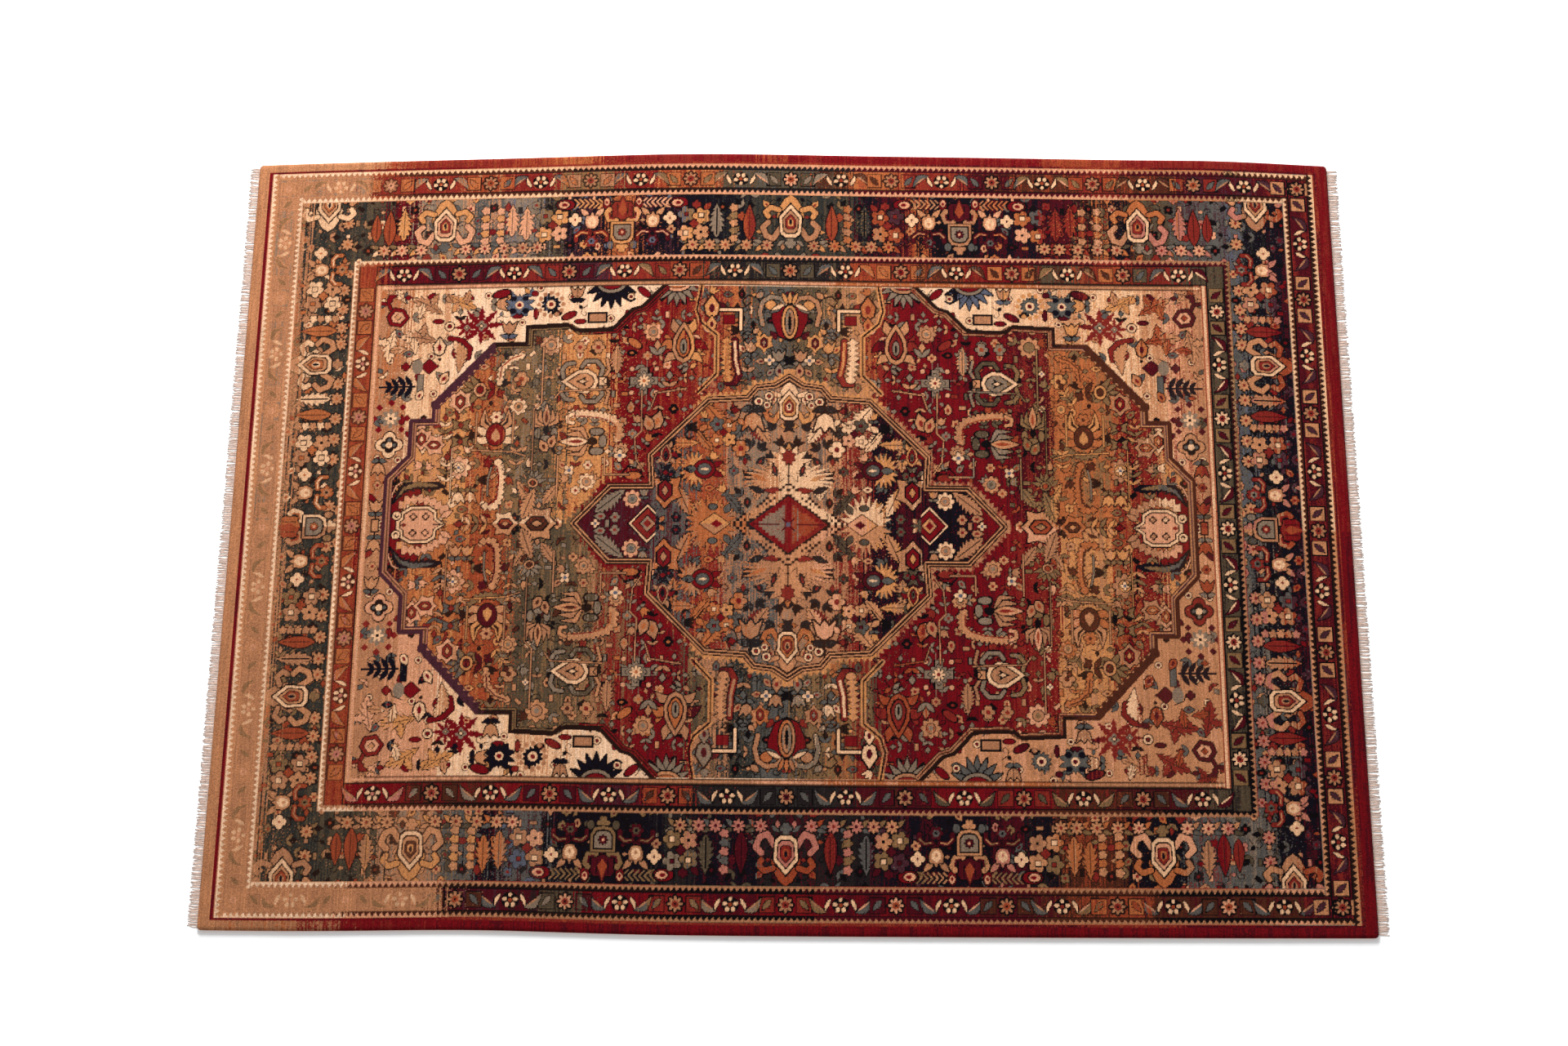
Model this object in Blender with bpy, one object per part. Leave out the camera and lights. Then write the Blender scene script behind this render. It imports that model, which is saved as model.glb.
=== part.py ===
"""A pile-woven wool rug with a medallion, lying flat, with a short fringe at each end.

Metres, +Z up. X runs along the rug and Y across it, with +Y at the far side. The origin is on the floor,
under the middle of the rug.
"""

import math
import random

import bmesh
import bpy

# Driving sizes of the woven body
RUG_LENGTH = 2.400
END_WIDTH = 1.700
THICKNESS = 0.010
CORNER_RADIUS = 0.008
CORNER_STEPS = 3
# The rug isn't a true rectangle: each long side swells between its corners
FAR_BOW = 0.024
NEAR_BOW = 0.004
# Where a long side also stands out or draws in, each as a soft wave
SIDE_WAVES = (
    # side, middle_x, stands_out, half_width
    ("far", -0.220, 0.0068, 0.300),
    ("far", 0.960, 0.0045, 0.180),
    ("near", -0.640, -0.0068, 0.260),
)
PILE_EDGE_RADIUS = 0.003
PILE_EDGE_STEPS = 2
LONG_SIDE_STEPS = 48

# Driving sizes of the fringe at each end
WEAVE_GAP = 0.0003
STRIP_DEPTH = 0.003
STRIP_HEIGHT = 0.0018
FRINGE_REACH = 0.025
LOCKS_PER_END = 110
LOCK_ROOT_SHARE = 0.68
LOCK_TIP_WIDTH = 0.0036
LOCK_TIP_HEIGHT = 0.0011
LOCK_SWAY = 0.0020
LOCK_SHORTFALL = 0.006
LOCK_STATIONS = (0.45, 1.0)

HALF_LENGTH = RUG_LENGTH / 2
TIP_X = HALF_LENGTH + FRINGE_REACH

PILE_COLOUR = (0.30, 0.09, 0.05, 1.0)
FRINGE_COLOUR = (0.72, 0.66, 0.58, 1.0)


def clear_scene():
    for thing in list(bpy.data.objects):
        bpy.data.objects.remove(thing, do_unlink=True)


def wool_material(name, colour):
    material = bpy.data.materials.new(name)
    material.use_nodes = True
    shader = material.node_tree.nodes["Principled BSDF"]
    shader.inputs["Base Color"].default_value = colour
    shader.inputs["Roughness"].default_value = 0.95
    shader.inputs["Metallic"].default_value = 0.0
    return material


def side_reach(side, x):
    """How far a long side stands out past the straight line between its corners at this x."""
    bow = FAR_BOW if side == "far" else NEAR_BOW
    reach = bow * (1.0 - (x / HALF_LENGTH) ** 2)
    for wave_side, middle_x, stands_out, half_width in SIDE_WAVES:
        if wave_side == side:
            reach += stands_out * math.exp(-(((x - middle_x) / half_width) ** 2))
    return reach


def long_side(side):
    """The points of one long side, from left to right, before the rug is centred."""
    run = HALF_LENGTH - CORNER_RADIUS
    stops = [run * (2 * i / LONG_SIDE_STEPS - 1) for i in range(LONG_SIDE_STEPS + 1)]
    away = 1.0 if side == "far" else -1.0
    return [(x, away * (END_WIDTH / 2 + side_reach(side, x))) for x in stops]


def rounded_corner(side_point, turn_start):
    """The points between a long side's last point and the rug's end, round a small arc."""
    x, y = side_point
    middle = (math.copysign(HALF_LENGTH - CORNER_RADIUS, x), y - math.copysign(CORNER_RADIUS, y))
    turns = [turn_start + math.pi / 2 * i / CORNER_STEPS for i in range(CORNER_STEPS + 1)]
    return [(middle[0] + CORNER_RADIUS * math.cos(a), middle[1] + CORNER_RADIUS * math.sin(a)) for a in turns]


def outline():
    """The rug's outline, anticlockwise from the near left corner and centred, and its shift across."""
    near = long_side("near")
    far = long_side("far")[::-1]
    points = near[1:-1] + rounded_corner(near[-1], -math.pi / 2) + rounded_corner(far[0], 0.0)
    points += far[1:-1] + rounded_corner(far[-1], math.pi / 2) + rounded_corner(near[0], math.pi)
    middle_y = (max(y for x, y in points) + min(y for x, y in points)) / 2
    return [(x, y - middle_y) for x, y in points], middle_y


def object_from(bm, name, material):
    bmesh.ops.recalc_face_normals(bm, faces=bm.faces)
    mesh = bpy.data.meshes.new(name)
    bm.to_mesh(mesh)
    bm.free()
    mesh.materials.append(material)
    thing = bpy.data.objects.new(name, mesh)
    bpy.context.scene.collection.objects.link(thing)
    return thing


def make_body(points, material):
    """The woven cloth with its pile, as one slab whose top edge is rounded, as cut pile is."""
    bm = bmesh.new()
    floor_face = bm.faces.new([bm.verts.new((x, y, 0.0)) for x, y in points])
    raised = bmesh.ops.extrude_face_region(bm, geom=[floor_face])["geom"]
    top_points = [part for part in raised if isinstance(part, bmesh.types.BMVert)]
    bmesh.ops.translate(bm, verts=top_points, vec=(0.0, 0.0, THICKNESS))
    top_edges = [edge for edge in bm.edges if all(point.co.z > THICKNESS / 2 for point in edge.verts)]
    bmesh.ops.bevel(
        bm, geom=top_edges, offset=PILE_EDGE_RADIUS, segments=PILE_EDGE_STEPS, profile=0.5, affect="EDGES"
    )
    body = object_from(bm, "rug", material)
    body.data.set_sharp_from_angle(angle=math.radians(50))


def strip_section(bm, side, y):
    """The strip's four corner points at this y: inner low, inner high, outer high and outer low."""
    inner = side * (HALF_LENGTH + WEAVE_GAP)
    outer = inner + side * STRIP_DEPTH
    corners = ((inner, 0.0), (inner, STRIP_HEIGHT), (outer, STRIP_HEIGHT), (outer, 0.0))
    return [bm.verts.new((x, y, z)) for x, z in corners]


def add_lock(bm, before, after, side, dice, full_length):
    """A lock of fringe that grows from the strip's outer face, tapers and lies level on the floor."""
    ring = [before[3], before[2], after[2], after[3]]
    root_x = (before[3].co.x + after[3].co.x) / 2
    middle_y = (before[3].co.y + after[3].co.y) / 2
    root_width = after[3].co.y - before[3].co.y
    reach = TIP_X - (0.0 if full_length else dice.uniform(0.0, LOCK_SHORTFALL))
    sway = dice.uniform(-LOCK_SWAY, LOCK_SWAY)
    for share in LOCK_STATIONS:
        x = root_x + (side * reach - root_x) * share
        y = middle_y + sway * share
        half = (root_width + (LOCK_TIP_WIDTH - root_width) * share) / 2
        height = STRIP_HEIGHT + (LOCK_TIP_HEIGHT - STRIP_HEIGHT) * share
        places = ((y - half, 0.0), (y - half, height), (y + half, height), (y + half, 0.0))
        further = [bm.verts.new((x, across, up)) for across, up in places]
        for i in range(4):
            j = (i + 1) % 4
            bm.faces.new([ring[i], ring[j], further[j], further[i]])
        ring = further
    bm.faces.new(ring)


def make_fringe(name, side, seed, middle_y, material):
    """A narrow strip along one end of the rug with the locks of warp yarn that it holds."""
    dice = random.Random(seed)
    bm = bmesh.new()
    near_y = CORNER_RADIUS - END_WIDTH / 2 - middle_y
    pitch = (END_WIDTH - 2 * CORNER_RADIUS) / LOCKS_PER_END
    section = strip_section(bm, side, near_y)
    bm.faces.new(section)
    for number in range(LOCKS_PER_END):
        start = near_y + number * pitch
        gap = pitch * (1.0 - LOCK_ROOT_SHARE) / 2
        stops = (start + gap, start + pitch - gap, start + pitch)
        for stretch, y in enumerate(stops):
            following = strip_section(bm, side, y)
            for i in range(3 if stretch != 1 else 2):
                bm.faces.new([section[i], section[i + 1], following[i + 1], following[i]])
            bm.faces.new([section[3], section[0], following[0], following[3]])
            if stretch == 1:
                add_lock(bm, section, following, side, dice, number == LOCKS_PER_END // 2)
            section = following
    bm.faces.new(section)
    object_from(bm, name, material)


def main():
    clear_scene()
    pile = wool_material("pile", PILE_COLOUR)
    cotton = wool_material("fringe", FRINGE_COLOUR)
    points, middle_y = outline()
    make_body(points, pile)
    make_fringe("fringe_left", -1.0, 11, middle_y, cotton)
    make_fringe("fringe_right", 1.0, 12, middle_y, cotton)


main()
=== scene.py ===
"""A wool rug with a medallion: its knotted pile, woven back, cotton fringe, floor, light and camera."""
import math

import bpy
import numpy as np
from mathutils import Matrix, Vector


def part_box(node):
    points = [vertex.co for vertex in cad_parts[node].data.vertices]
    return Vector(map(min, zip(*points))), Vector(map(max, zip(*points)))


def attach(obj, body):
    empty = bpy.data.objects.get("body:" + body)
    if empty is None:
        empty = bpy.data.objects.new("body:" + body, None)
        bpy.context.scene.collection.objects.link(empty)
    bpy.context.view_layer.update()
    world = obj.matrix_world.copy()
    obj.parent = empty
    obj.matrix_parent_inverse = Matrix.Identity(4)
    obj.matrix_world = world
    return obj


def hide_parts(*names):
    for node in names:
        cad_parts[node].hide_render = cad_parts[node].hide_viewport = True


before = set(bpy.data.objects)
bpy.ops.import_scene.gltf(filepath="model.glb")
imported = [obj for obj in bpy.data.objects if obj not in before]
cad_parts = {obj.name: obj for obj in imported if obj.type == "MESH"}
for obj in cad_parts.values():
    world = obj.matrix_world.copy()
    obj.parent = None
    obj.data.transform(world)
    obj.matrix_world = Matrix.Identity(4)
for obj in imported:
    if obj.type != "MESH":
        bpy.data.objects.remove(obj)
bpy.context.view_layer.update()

MM = 0.001

# The rug's outline in millimetres, as in the part
HALF_LENGTH = 1200.0
HALF_WIDTH = 850.0
CORNER_RADIUS = 8.0
FAR_BOW = 24.0
NEAR_BOW = 4.0
SIDE_WAVES = (
    # side, middle_x, stands_out, half_width
    ("far", -220.0, 6.8, 300.0),
    ("far", 960.0, 4.5, 180.0),
    ("near", -640.0, -6.8, 260.0),
)
RUG_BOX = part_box("rug")
PILE_TOP = RUG_BOX[1][2] / MM
FOUNDATION_TOP = 3.0

# The knots of the pile, and the finer cells in which one quarter of the pattern is drawn
KNOTS_LONG = 780
KNOTS_WIDE = 552
STRIPS = 5
BACK_CELL = 4
QUARTER = (KNOTS_WIDE, KNOTS_LONG)
DICE = np.random.default_rng(20)

# Inks: the first six follow the zone that they lie in, and the others are dyes of their own
INKS = ("ground", "line", "main", "second", "accent", "leaf",
        "cream", "peach", "tan", "rust", "red", "wine", "navy", "blue", "grey", "teal")
GROUND, LINE, MAIN, SECOND, ACCENT, LEAF = range(6)

# The dyes, as red, green and blue from 0 to 255
DYES = {
    "cream": (240, 186, 142), "ivory": (248, 202, 164), "peach": (222, 152, 114), "tan": (180, 120, 84),
    "sand": (198, 132, 90), "gold": (210, 138, 82), "rust": (156, 66, 38), "orange": (182, 100, 56),
    "brick": (132, 38, 30), "red": (118, 12, 20), "wine": (78, 11, 22), "plum": (74, 36, 44),
    "navy": (18, 12, 22), "black": (15, 8, 10), "blue": (92, 93, 106), "grey": (138, 114, 94),
    "slate": (92, 86, 80), "teal": (48, 46, 42), "moss": (86, 70, 52), "olive": (134, 98, 64),
    "brown": (80, 38, 24), "dusk": (36, 28, 28), "umber": (38, 19, 14), "pink": (188, 112, 94),
}
DYE_STRENGTH = 0.57
COTTON = (198, 171, 156)

# Bands from the edge inwards: where each starts, in millimetres from the rug's ends and from its sides
BANDS = (
    # name, from_end, from_side
    ("edge", 0.0, 0.0),
    ("edge_line", 24.0, 20.0),
    ("outer_guard", 33.0, 25.0),
    ("outer_minor", 47.0, 38.0),
    ("main_guard", 92.0, 84.0),
    ("main", 104.0, 98.0),
    ("inner_guard", 229.0, 241.0),
    ("inner_minor", 242.0, 254.0),
    ("stripe", 283.0, 300.0),
    ("field", 296.0, 313.0),
)
PLACES = tuple(name for name, end, side in BANDS)
PLACES += ("spandrel", "medallion", "panel", "pendant", "heart", "rim")
PLACE = {name: number for number, name in enumerate(PLACES)}

# Locking teeth of the guards: their pitch in millimetres, and their height as shares of the guard's width
TOOTH_PITCH = 12.3
TOOTH_FOOT = 0.2
TOOTH_HEIGHT = 0.62
GUARD_EDGE = 0.09
GUARDS = (("outer_guard", True), ("main_guard", False), ("inner_guard", True))
# The dark edges of the minor borders, and between which depths the stripe is pale, in millimetres
MINOR_EDGE = 2.6
STRIPE_PALE = (4.0, 9.5)

# How the photo's colour bands run along the rug. Each zone starts at the x in front and reaches to the next.
# Its dyes are those of its table's columns, where = is the dye of the zone before. A number at its end is the
# share of ground in its other dyes. A table ending in _near colours the rug's near half. Its darker dyes
# are partly the rug's own colours and partly painted shade of the near side
ZONES = {
    "edge": """
      -1200 sand tan, -940 rust sand, -880 brick rust, -600 rust brick, -520 orange rust,
      -440 brick red, -150 red brick, -60 rust =, -20 red =, 560 rust =, 740 brick red, 1000 red brick""",
    "edge_near": """
      -1200 sand tan, -1150 tan orange, -1000 brick tan, -900 red brick, -700 = wine""",
    "edge_line": """
      -1200 red wine, -700 brick rust, 300 wine brick, 600 brick rust, 800 wine red, 1170 brick rust""",
    "guard": """
      -1200 sand ivory peach, -1110 tan = sand, -950 rust cream tan, -890 brown = =, -500 umber peach =,
      -150 dusk = sand, 140 wine = tan, 660 brick = =, 740 wine tan orange, 960 umber olive moss,
      995 brown cream brown, 1090 = = slate, 1150 umber = rust""",
    "guard_near": """
      -1200 sand ivory peach, -1110 tan = sand, -900 brown peach tan, -700 umber tan brick,
      -260 black = moss, 60 wine = brick, 520 brown = rust, 760 black = brick, 995 umber peach slate,
      1090 = sand =, 1150 = = rust""",
    "outer_minor": """
      -1200 tan grey sand tan sand peach olive 0.3, -945 brick rust brown orange tan = orange 0.1,
      -840 = = black rust = rust grey, -735 rust sand umber orange = = orange 0.05,
      -640 brick red black rust = = slate, -520 olive orange umber tan = brick orange 0.1,
      -400 brick red black brick = rust slate, -300 rust gold umber orange = brick olive 0.05,
      -150 moss slate black moss peach rust grey, 60 brown moss = rust tan = =,
      130 orange rust umber orange = brick brown 0.05, 250 brick = black brick = rust slate,
      390 wine brown = wine = brick =, 500 brown rust = rust peach rust olive,
      640 brick = umber = tan brick = 0.05, 720 brown = black orange = rust brown,
      860 wine plum = brick = = slate, 1030 = brick = sand = brick plum""",
    "outer_minor_near": """
      -1200 tan sand sand tan sand peach olive 0.3, -700 wine plum black brown tan rust slate,
      -580 = dusk = moss = = grey, -500 moss umber = = peach brick = 0.05,
      -420 red wine = wine tan rust slate, -280 = brick = brick = brick olive,
      -180 wine red = brown = rust grey, -60 red wine = brick = brick olive,
      100 wine red = wine peach rust slate, 400 = brown = brown tan = =,
      560 brown rust = rust peach brick olive, 640 rust brick umber orange tan = rust,
      740 brown wine black brown peach rust slate, 1050 wine brick = sand tan brick plum""",
    "main": """
      -1200 tan orange olive sand tan rust sand 0.2, -1080 teal moss umber cream sand orange tan 0.06,
      -960 moss teal = = = rust olive 0.04, -900 wine red black gold peach = =,
      -830 grey sand umber = = brick slate 0.05, -720 slate = = = = red = 0.05,
      -640 grey blue dusk peach tan brick grey 0.05, -560 moss navy black gold peach = olive 0.05,
      -500 navy plum = = = = blue, -410 orange rust umber = cream = olive 0.05,
      -345 navy plum black peach sand wine blue, -250 = black = gold = brick olive,
      -190 = teal = olive = rust grey, -90 teal moss = gold tan brick = 0.05,
      80 = = = tan orange rust olive 0.05, 150 navy wine = rust tan brick teal,
      200 wine navy = = orange = plum, 262 rust orange umber gold sand wine brown,
      290 navy black black tan = = slate, 420 = wine = orange peach = =,
      560 wine navy = brick sand red brick, 640 umber moss = rust tan brick olive 0.05,
      676 orange rust umber gold peach = = 0.05, 700 navy brown black orange tan = moss,
      760 moss = = = pink = grey, 850 slate plum = pink peach = slate, 960 = blue = = sand = grey,
      1005 navy teal = tan = = slate, 1060 = wine = rust pink red plum""",
    "main_near": """
      -1200 tan orange olive sand tan rust sand 0.2, -1080 teal moss umber tan sand = olive 0.06,
      -960 moss teal = = = = tan 0.08, -840 tan grey = gold = brown sand 0.1,
      -720 slate olive = = = brick moss 0.08, -640 navy wine black orange = = slate,
      -590 slate = dusk tan peach = blue 0.05, -500 navy black black olive tan wine moss,
      -260 dusk teal = = = = grey, -200 navy wine = slate pink = moss, -60 dusk = = rust = brick slate,
      100 = navy = olive = wine =, 190 navy wine = = sand = plum, 300 = black = sand tan = slate,
      420 wine navy = olive pink = =, 500 navy dusk = sand tan brick olive,
      570 brown rust umber orange sand = =, 700 navy black black = peach = =,
      820 slate brick dusk tan = red slate, 900 = grey black sand pink brick moss,
      1005 navy dusk = tan sand = slate, 1060 = wine = rust pink red plum""",
    "inner_minor": """
      -1200 rust brick brown orange tan pink orange 0.05, -905 wine red black wine = brick slate,
      -640 brick wine = brick = = =, -500 plum = = wine = = =, -400 brick rust = brick = = olive,
      -250 rust brick umber rust = = brown, -180 dusk moss black moss = rust slate,
      130 rust brick umber orange = red orange, 280 brown rust black brown = brick slate,
      400 red brick umber orange = = brown, 540 moss brown black brown = = olive,
      640 rust brick umber orange = = brown, 740 brick brown black moss = = slate,
      860 moss dusk = olive cream = wine""",
    "inner_minor_near": """
      -1200 rust brick brown orange tan pink orange 0.05, -920 red = umber brick = = pink,
      -800 brown red black brown = brick grey, -600 red brick = wine = = slate,
      -440 wine plum = = = = =, -300 brick red = rust = = brown, -200 dusk teal = dusk = wine slate,
      130 wine brown = wine = = =, 300 red wine = brick = brick moss, 560 brown brick = rust = = olive,
      680 wine brown = brown = = slate, 860 moss dusk = olive cream = wine""",
    "stripe": """
      -1200 peach cream sand 0.1, -885 = tan brown 0.1, -600 tan sand umber 0.1, -60 peach tan = 0.1,
      80 orange peach brown 0.1, 560 tan sand umber 0.1, 890 cream peach rust 0.1""",
    "field": """
      -1200 wine red black sand gold brown moss, -848 gold sand umber cream peach brick olive 0.03,
      -700 orange red = sand cream red = 0.03, -625 olive grey dusk = = rust moss 0.03,
      -560 moss olive = = tan brown grey 0.03, -505 gold orange umber = cream brick = 0.03,
      -385 red brick black tan sand orange =, -300 = rust = = peach = =,
      -215 brick orange umber gold = red =, 180 = olive black sand = wine =,
      215 red wine = = tan brick =, 390 = = = grey sand rust moss, 480 wine brick = olive = = olive,
      565 orange olive umber gold orange brown = 0.03, 705 brick orange black = tan red =,
      750 = red = sand = orange =, 800 gold tan umber = cream brick slate 0.03""",
    "field_near": """
      -1200 wine red black sand gold brown moss, -848 orange gold umber = peach brick slate 0.03,
      -690 rust orange = gold sand wine olive 0.03, -600 moss olive black tan = brown grey 0.03,
      -440 olive tan umber sand tan brick moss 0.03, -400 brick olive black tan sand orange grey,
      -340 red wine = = = = =, -215 moss olive = = = wine = 0.03, 190 red wine = rust tan brick =,
      300 = = = tan sand = =, 480 brick red = = peach rust olive,
      575 gold tan umber sand orange brown = 0.03, 690 rust olive black gold tan red =,
      740 brick red = sand = orange =, 800 gold tan umber = peach brick slate 0.03""",
    "spandrel": """
      -1200 tan orange umber sand cream red slate, -840 cream sand = cream tan = grey,
      -745 ivory cream = sand gold = =, -630 = = black tan = = blue, -560 = = = = olive brick navy,
      -480 = = = = grey red =, 380 cream ivory = = = = blue, 480 = peach = gold tan wine slate,
      560 sand cream = = cream = =, 650 cream gold umber sand gold brick =,
      760 sand cream black orange rust wine =, 820 peach brick = rust sand = = 0.03,
      858 sand = = = tan = = 0.03, 882 tan sand = brick sand = moss 0.03""",
    "spandrel_near": """
      -1200 tan sand umber sand peach brick slate, -840 peach = = cream gold red navy,
      -730 cream ivory = sand = = =, -560 = sand black tan olive brick =,
      -480 ivory cream = = grey red =, 0 sand peach = = = = slate, 480 = = = = peach wine =,
      640 = = umber cream sand brick =, 740 = tan = rust brick wine = 0.03, 800 = = black = = = = 0.03,
      870 = peach umber = = = grey 0.03""",
    "medallion": """
      -1200 wine plum black grey peach brick slate, -300 slate wine = tan orange red navy 0.03,
      -215 rust orange umber orange gold = slate, -140 tan slate black = = = = 0.03,
      -90 grey tan dusk sand orange brick dusk 0.03, -30 tan grey umber cream gold = = 0.03,
      60 sand slate = = tan = = 0.03, 120 brick tan = = peach wine moss 0.03,
      170 navy wine black = gold = slate, 212 = = = sand = = =, 235 wine navy = gold tan red moss,
      290 navy black = tan cream = grey, 400 red wine = = = brick slate""",
    "medallion_near": """
      -1200 wine plum black grey peach brick slate, -300 slate wine = tan orange red navy 0.03,
      -215 brick orange umber orange tan = slate, -140 tan slate black = gold = = 0.03,
      -90 slate tan dusk tan orange brick dusk 0.03, -30 tan grey umber sand = = = 0.03,
      60 = sand = peach gold = = 0.03, 120 brick tan = sand peach wine moss 0.03,
      170 navy wine black = gold = slate, 235 wine navy = gold tan red moss,
      290 navy black = tan cream = grey, 400 red wine = = = brick slate""",
    "heart": """
      -1200 red brick wine tan grey wine blue 0.1, 3 brick red = = rust = = 0.1""",
    "panel": """
      -1200 brick tan umber gold orange wine slate 0.03, -150 orange brick = cream gold = moss,
      -108 moss slate black tan = brick slate, -60 slate moss = grey = wine =,
      0 moss olive = tan = = grey 0.03, 70 olive tan umber gold tan brick slate 0.03,
      120 tan gold = orange cream = olive 0.03""",
    "panel_near": """
      -1200 tan moss umber grey sand wine slate 0.03, -130 teal = black tan = brick =,
      -60 slate teal = = orange = =, 10 olive = = grey tan = = 0.03,
      80 = orange umber cream gold = = 0.03, 140 brick olive black = sand wine moss""",
    "rim": """
      -1200 tan pink plum sand brown, -640 olive moss umber = umber, -440 red brick = = =,
      -200 gold tan = = rust, 210 tan brick = = brown, 600 = gold brown = plum""",
}
ALL_COLUMNS = "ground patch line main second accent leaf"
ZONE_COLUMNS = {
    "edge": "ground patch", "edge_line": "ground patch", "guard": "line main second",
    "stripe": "ground patch line", "rim": "ground patch line main accent",
}
SAME_ZONES = {
    "outer_guard": "guard", "main_guard": "guard", "inner_guard": "guard", "pendant": "medallion",
}


def numbers(text):
    """Each word as a number, or as a point where two numbers are joined by a comma."""
    return tuple(tuple(map(float, word.split(","))) if "," in word else float(word) for word in text.split())


# Shapes: each gives the distance in millimetres from a point to its edge, below 0 inside
def ellipse(u, v, cx, cy, rx, ry):
    return (np.hypot((u - cx) / rx, (v - cy) / ry) - 1.0) * min(rx, ry)


def box(u, v, cx, cy, hx, hy):
    return np.maximum(np.abs(u - cx) - hx, np.abs(v - cy) - hy)


def diamond(u, v, cx, cy, hx, hy):
    return (np.abs(u - cx) / hx + np.abs(v - cy) / hy - 1.0) * hx * hy / math.hypot(hx, hy)


def rosette(u, v, cx, cy, radius, petals, notch):
    angle = np.arctan2(v - cy, u - cx)
    edge = radius * (1.0 - notch + notch * np.abs(np.cos(petals * angle / 2)))
    return np.hypot(u - cx, v - cy) - edge


def zigzag(turns):
    """From 1 down to 0 and back, once for every whole number."""
    return np.abs(turns % 1.0 * 2.0 - 1.0)


def burst(u, v, cx, cy, rx, ry, teeth, bite):
    """An oval with pointed teeth all round, as of a jagged leaf."""
    across = (u - cx) / rx
    up = (v - cy) / ry
    tooth = zigzag(np.arctan2(up, across) / (2 * math.pi) * teeth)
    return (np.hypot(across, up) - 1.0 + bite * tooth) * min(rx, ry)


def near_path(u, v, points):
    """The distance from each cell to a path, and how far along the path its nearest point lies."""
    best = np.full(u.shape, np.inf)
    along = np.zeros(u.shape)
    done = 0.0
    for (ax, ay), (bx, by) in zip(points, points[1:]):
        length = math.hypot(bx - ax, by - ay)
        share = ((u - ax) * (bx - ax) + (v - ay) * (by - ay)) / length**2
        share = np.clip(share, 0.0, 1.0)
        gap = np.hypot(u - ax - share * (bx - ax), v - ay - share * (by - ay))
        closer = gap < best
        best = np.where(closer, gap, best)
        along = np.where(closer, done + share * length, along)
        done += length
    return best, along, done


def stroke(u, v, width, *points):
    return near_path(u, v, points)[0] - width / 2


def leaf(u, v, width, pitch, bite, *points):
    """A leaf along a path, widest before its middle, with teeth every pitch that bite into its edge."""
    gap, along, length = near_path(u, v, points)
    share = along / length
    swell = np.sin(math.pi * share**0.8)
    tooth = (along / pitch) % 1.0
    return gap - width / 2 * swell * (1.0 - bite * tooth)


def petal(u, v, width, *points):
    """A leaf without teeth."""
    return leaf(u, v, width, 1.0, 0.0, *points)


def comb(u, v, width, pitch, bite, *points):
    """A band along a path with teeth every pitch."""
    gap, along, length = near_path(u, v, points)
    return gap - width / 2 * (1.0 - bite * zigzag(along / pitch))


def shape(u, v, *points):
    """A closed outline of straight sides."""
    inside = np.zeros(u.shape, bool)
    ring = points + (points[0],)
    for (ax, ay), (bx, by) in zip(ring, ring[1:]):
        if ay != by:
            crossing = (ay > v) != (by > v)
            inside ^= crossing & (u < (bx - ax) * (v - ay) / (by - ay) + ax)
    gap = near_path(u, v, ring)[0]
    return np.where(inside, -gap, gap)


HOUSE_WALL = numbers("-22,-28 -25,12 0,42 25,12 22,-28 12,-36 -12,-36")
OCTAGON = numbers("0,-54 12,-36 30,-34 40,-18 40,20 28,40 14,40 8,50 0,50")


def house_wall(u, v, share, drop=0.0):
    """The wall of the house motif, or the same outline smaller and lower."""
    return shape(u, v, *((x * share, y * share - drop) for x, y in HOUSE_WALL))


def octagon(u, v, share):
    """Half the outline of the end palmette's heart, or the same outline smaller."""
    return shape(u, v, *((x * share, y * share) for x, y in OCTAGON))


def circle_of(count, radius):
    """The middles of motif parts that stand round a middle, as text."""
    for step in range(count):
        angle = 2 * math.pi * step / count
        yield f"{radius * math.cos(angle)} {radius * math.sin(angle)}"


SHAPES = {form.__name__: form for form in (
    ellipse, box, diamond, rosette, burst, stroke, leaf, petal, comb, shape, house_wall, octagon)}

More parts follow.
